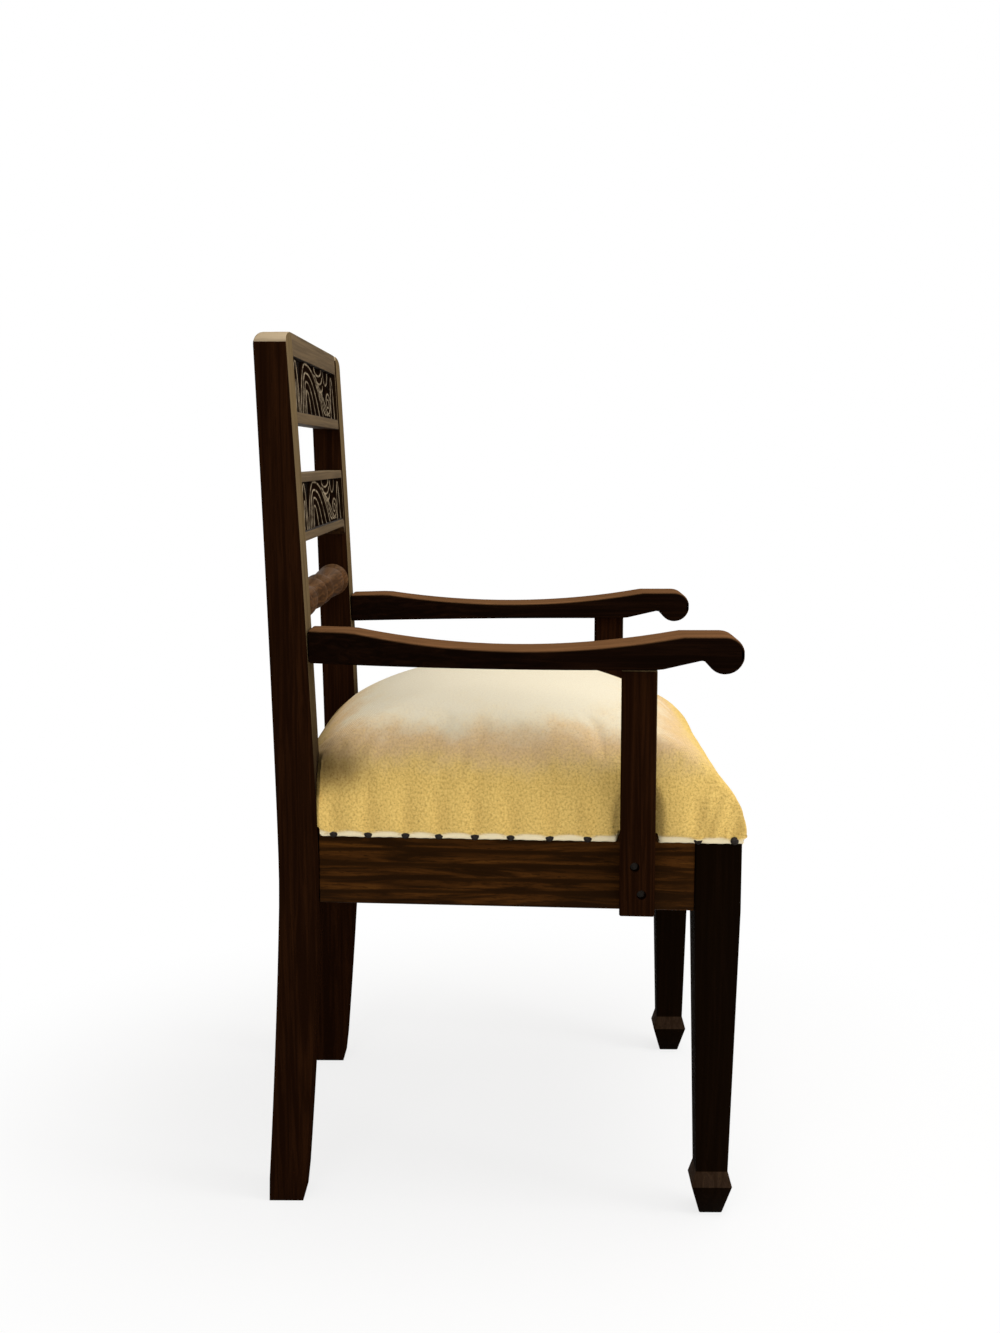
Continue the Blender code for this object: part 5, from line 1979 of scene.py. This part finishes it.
    def held(self, point: Vector) -> bool:
        """Whether a point of the cover is nailed down or tucked in at a post.

        Args:
            point: A point of the cover.

        Returns:
            True where it is held.
        """
        by_arm = abs(point.y - self.arm_y) < self.arm_half + self.tuck
        by_arm = by_arm and abs(point.x) > self.arm_inner - self.tuck
        by_back = point.y > self.post_front - self.tuck and abs(point.x) > self.post_inner - self.tuck / 2
        return point.z < self.rim or by_arm or by_back

    def settle(self, cover: bpy.types.Object) -> None:
        """Let the stuffed cloth puff and crease between its nails, in a short simulation.

        Args:
            cover: The open cover, whose points are moved by no more than the cap.
        """
        start = [vertex.co.copy() for vertex in cover.data.vertices]
        group = cover.vertex_groups.new(name="nailed")
        group.add([index for index, point in enumerate(start) if self.held(point)], 1.0, "REPLACE")
        only(cover)
        modifier = cover.modifiers.new("stuffed_linen", "CLOTH")
        settings = modifier.settings
        settings.vertex_group_mass = group.name
        settings.quality = 6
        settings.mass = 0.3
        settings.tension_stiffness = settings.compression_stiffness = 20.0
        settings.shear_stiffness = 8.0
        settings.bending_stiffness = 0.6
        settings.shrink_min = -self.spare_cloth
        settings.use_pressure = True
        settings.uniform_pressure_force = self.pressure
        settings.effector_weights.gravity = 0.0
        modifier.collision_settings.use_collision = False
        scene = bpy.context.scene
        for number in range(1, self.settle_frames + 1):
            scene.frame_set(number)
        settled = cover.evaluated_get(bpy.context.evaluated_depsgraph_get())
        moved = [vertex.co.copy() for vertex in settled.data.vertices]
        cover.modifiers.remove(modifier)
        cover.vertex_groups.clear()
        scene.frame_set(1)
        farthest = 0.0
        for vertex, before, after in zip(cover.data.vertices, start, moved):
            step = after - before
            farthest = max(farthest, step.length)
            vertex.co = before + step * min(1.0, self.settle_cap / max(step.length, TINY))
        log.info("%s: cloth settled by up to %.1f mm", cover.name, farthest / MM)

    def lining(self) -> None:
        """Model and dress the canvas over the springs."""
        canvas = self.cloth(
            "spring_lining",
            lambda a, b: self.dome(a, b, self.lining_inset, self.lining_crown - self.canvas),
            self.base_cells,
        )
        inset, crown = self.lining_inset, self.lining_crown
        runs = [
            self.fall_lengths(lambda a, _: self.dome(a * across, a * along, inset, crown))[-1]
            for across, along in ((1, 0), (0, 1), (0, -1))
        ]
        apply_modifier(canvas, "SOLIDIFY", thickness=self.canvas, offset=1.0)
        outward(canvas)
        smooth(canvas)
        dress(canvas, "jute", [CANVAS.build()], "spring_canvas")

    def springs(self) -> None:
        """Model and dress the coil springs."""
        steel = SPRING_STEEL.build()
        for number in range(1, self.spring_count + 1):
            low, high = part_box(f"seat_spring_{number}")
            centre = (low + high) / 2
            radius = (high.x - low.x - self.wire) / 2
            deselect()
            bpy.ops.curve.primitive_bezier_curve_add()
            coil = bpy.context.object
            coil.name = f"coil_spring_{number}"
            curve = coil.data
            curve.splines.clear()
            curve.dimensions = "3D"
            curve.bevel_depth = self.wire / 2
            curve.bevel_resolution = 3
            curve.use_fill_caps = True
            line = curve.splines.new("POLY")
            steps = self.turn_steps * self.spring_turns
            line.points.add(steps)
            tall = high.z - low.z - self.wire
            for step in range(steps + 1):
                share = step / steps
                rise = self.spring_even * share + (1 - self.spring_even) * ease(share)
                size = radius * (1 - self.spring_waist * math.sin(math.pi * share) ** 2)
                turn = math.pi / 2 + math.tau * self.spring_turns * share
                spot = (
                    centre.x + size * math.cos(turn),
                    centre.y + size * math.sin(turn),
                    low.z + self.wire / 2 + tall * rise,
                )
                line.points[step].co = (*spot, 1)
            bpy.ops.object.convert(target="MESH")
            coil = started(coil.name)
            outward(coil)
            smooth(coil)
            dress(coil, "steel", [steel], f"seat_spring_{number}")

    def webbing(self) -> None:
        """Model and dress the interlaced straps."""
        jute = WEBBING.build()
        for run, axis in (("lengthwise", Axis.Y), ("crosswise", Axis.X)):
            for number in range(1, self.strap_count + 1):
                node = CadNode(f"webbing_{run}_{number}")
                side = Axis.X if axis is Axis.Y else Axis.Y
                start = node.low[axis.value] + self.strap_end
                end = node.high[axis.value] - self.strap_end
                edge_low, edge_high = node.low[side.value], node.high[side.value]

                def place(u: float, v: float, w: float) -> Vector:
                    """Where a point of the strap goes.

                    Args:
                        u: Share along.
                        v: Share across.
                        w: Share up.

                    Returns:
                        The point.
                    """
                    spot = Vector()
                    spot[axis.value] = start + u * (end - start)
                    spot[side.value] = edge_low + v * (edge_high - edge_low)
                    low, high = node.cut(axis, min(max(spot[axis.value], start + MM), end - MM))
                    spot.z = low.z + w * (high.z - low.z)
                    return spot

                cuts = (even(0, 1, self.strap_steps), even(0, 1, self.strap_lanes), (0, 1))
                strap = shaped_block(f"strap_{run}_{number}", cuts, place)
                outward(strap)
                smooth(strap, FACET)
                dress(strap, "jute", [jute], node.name)

    def nail_heads(self) -> None:
        """Model one domed nail, then copy it along the hem."""
        deselect()
        bpy.ops.mesh.primitive_uv_sphere_add(
            segments=self.nail_sides, ring_count=self.nail_rings, radius=1
        )
        first = started("nail")
        for vertex in first.data.vertices:
            wide, tall = self.nail_radius, self.nail_rise
            if vertex.co.z <= 0:
                wide, tall = wide * self.nail_neck, tall * self.nail_under
            vertex.co = vertex.co * Vector((wide, wide, tall))
        copies = []
        for spot, out in self.nails:
            nail = first.copy()
            nail.data = first.data.copy()
            bpy.context.scene.collection.objects.link(nail)
            turn = out.to_track_quat("Z", "Y").to_matrix().to_4x4()
            nail.data.transform(Matrix.Translation(spot) @ turn)
            copies.append(nail)
        bpy.data.objects.remove(first)
        heads = joined("hem_nails", copies)
        smooth(heads)
        dress(heads, "steel", [NAIL_IRON.build()])


@dataclass
class Fittings:
    """Corner blocks and screws, which keep the frame's own shapes."""

    def build(self) -> None:
        """Dress the frame's nodes."""
        raw, steel = RAW.build(Axis.X), SCREW_STEEL.build()
        for name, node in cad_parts.items():
            if "screw" in name or name.startswith("corner_block"):
                node.data.materials.clear()
                node.data.materials.append(steel if "screw" in name else raw)
                log.info("%s: %d faces", name, len(node.data.polygons))


@dataclass
class Studio:
    """White studio: pale floor, soft lamps and the camera at the photograph's place."""

    camera_at: tuple[float, float, float] = (-1.82, -0.017, 0.806)
    pitch: float = 0.1344
    yaw: float = 0.0105
    focal: float = 1550.0
    image_tall: float = 1333.0
    sensor: float = 36.0
    floor_size: float = 40.0
    shadow_from: float = 0.35
    shadow_to: float = 0.85
    shadow_white: float = 0.78
    fill: float = 0.35

    def build(self) -> None:
        """Set up the floor, the lamps, the world and the camera."""
        bpy.context.scene.view_settings.view_transform = "Standard"
        self.floor()
        self.world()
        self.lamp("overhead", (-0.2, -0.5, 2.4), (0.0, 0.0, 0.5), 1.6, 30.0)
        self.lamp("front", (-0.9, -2.5, 1.4), (0.0, 0.0, 0.55), 1.2, 34.0)
        self.lamp("near_side", (-2.6, 0.6, 1.6), (0.0, 0.0, 0.5), 1.6, 19.0)
        self.camera()

    def floor(self) -> None:
        """A white floor that keeps a soft shadow."""
        deselect()
        bpy.ops.mesh.primitive_plane_add(size=self.floor_size, location=(0, 0, -0.5 * MM))
        floor = started("studio_floor")
        made, tree, shader = new_material("white_floor")
        feed(shader, {"Base Color": linear("#f4f4f4"), "Roughness": 0.9, "Specular IOR Level": 0.0})
        seen = add_node(tree, "LightPath", out="Is Camera Ray")
        place = add_node(tree, "TexCoord", out="Object")
        away = add_node(tree, "VectorMath", {0: place}, "Value", operation="LENGTH")
        reach = {0: away, 1: self.shadow_from, 2: self.shadow_to, 3: self.shadow_white}
        white = add_node(tree, "MapRange", reach, **SOFT)
        share = add_node(tree, "Math", {0: seen, 1: white}, operation="MULTIPLY")
        glow = add_node(tree, "Emission", {"Color": (1, 1, 1, 1), "Strength": 1.0})
        mixed = add_node(tree, "MixShader", {0: share, 1: shader.outputs[0], 2: glow})
        feed(tree.nodes["Material Output"], {"Surface": mixed})
        floor.data.materials.append(made)
        floor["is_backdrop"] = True

    def world(self) -> None:
        """White to the camera and in reflections, and a softer fill on the chair."""
        world = bpy.data.worlds.new("white_studio")
        bpy.context.scene.world = world
        world.use_nodes = True
        tree = world.node_tree
        seen = add_node(tree, "LightPath", out="Is Camera Ray")
        rays = seen.node.outputs
        for kind in ("Is Glossy Ray", "Is Transmission Ray"):
            seen = add_node(tree, "Math", {0: seen, 1: rays[kind]}, operation="MAXIMUM")
        white = add_node(tree, "Background", {"Color": (1, 1, 1, 1), "Strength": 1.0})
        fill = tree.nodes["Background"]
        feed(fill, {"Color": linear("#fffaf2"), "Strength": self.fill})
        mixed = add_node(tree, "MixShader", {0: seen, 1: fill.outputs[0], 2: white})
        feed(tree.nodes["World Output"], {"Surface": mixed})

    def lamp(
        self, name: str, place: Iterable[float], target: Iterable[float], size: float, power: float
    ) -> None:
        """Add a soft square lamp.

        Args:
            name: The lamp's name.
            place: Where it hangs.
            target: What it faces.
            size: Length of its side.
            power: Its watts.
        """
        data = bpy.data.lights.new(name, "AREA")
        data.size = size
        data.energy = power
        lamp = bpy.data.objects.new(name, data)
        lamp.location = place
        lamp.rotation_euler = (Vector(target) - Vector(place)).to_track_quat("-Z", "Y").to_euler()
        bpy.context.scene.collection.objects.link(lamp)

    def camera(self) -> None:
        """Place the camera that sees the chair as the photograph does."""
        data = bpy.data.cameras.new("photo_camera")
        data.sensor_fit = "AUTO"
        data.sensor_width = self.sensor
        data.lens = self.focal / self.image_tall * self.sensor
        camera = bpy.data.objects.new("photo_camera", data)
        camera.location = self.camera_at
        look = Vector(
            (
                math.cos(self.pitch) * math.cos(self.yaw),
                math.cos(self.pitch) * math.sin(self.yaw),
                -math.sin(self.pitch),
            )
        )
        camera.rotation_euler = look.to_track_quat("-Z", "Y").to_euler()
        bpy.context.scene.collection.objects.link(camera)
        bpy.context.scene.camera = camera


def main() -> None:
    """Build the chair's looks in order, and measure the frame and the finished chair."""
    logging.basicConfig(level=logging.INFO, format="%(name)s: %(message)s")
    Studio().build()
    BackPosts().build()
    carving = Carving()
    PanelRail("carved_crest", "crest_rail", 12 * MM, 57 * MM, crown=8 * MM).build(carving)
    PanelRail("carved_middle", "middle_rail", 10 * MM, 52 * MM, fillet=11 * MM).build(carving)
    TurnedRail().build()
    FrontLegs().build()
    SeatRails().build()
    Arms().build()
    Seat().build()
    Fittings().build()
    boxes = {"cad": CAD_BOX, "visual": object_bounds()}
    {name: [list(corner) for corner in box] for name, box in boxes.items()}


if __name__ == "__main__":
    main()
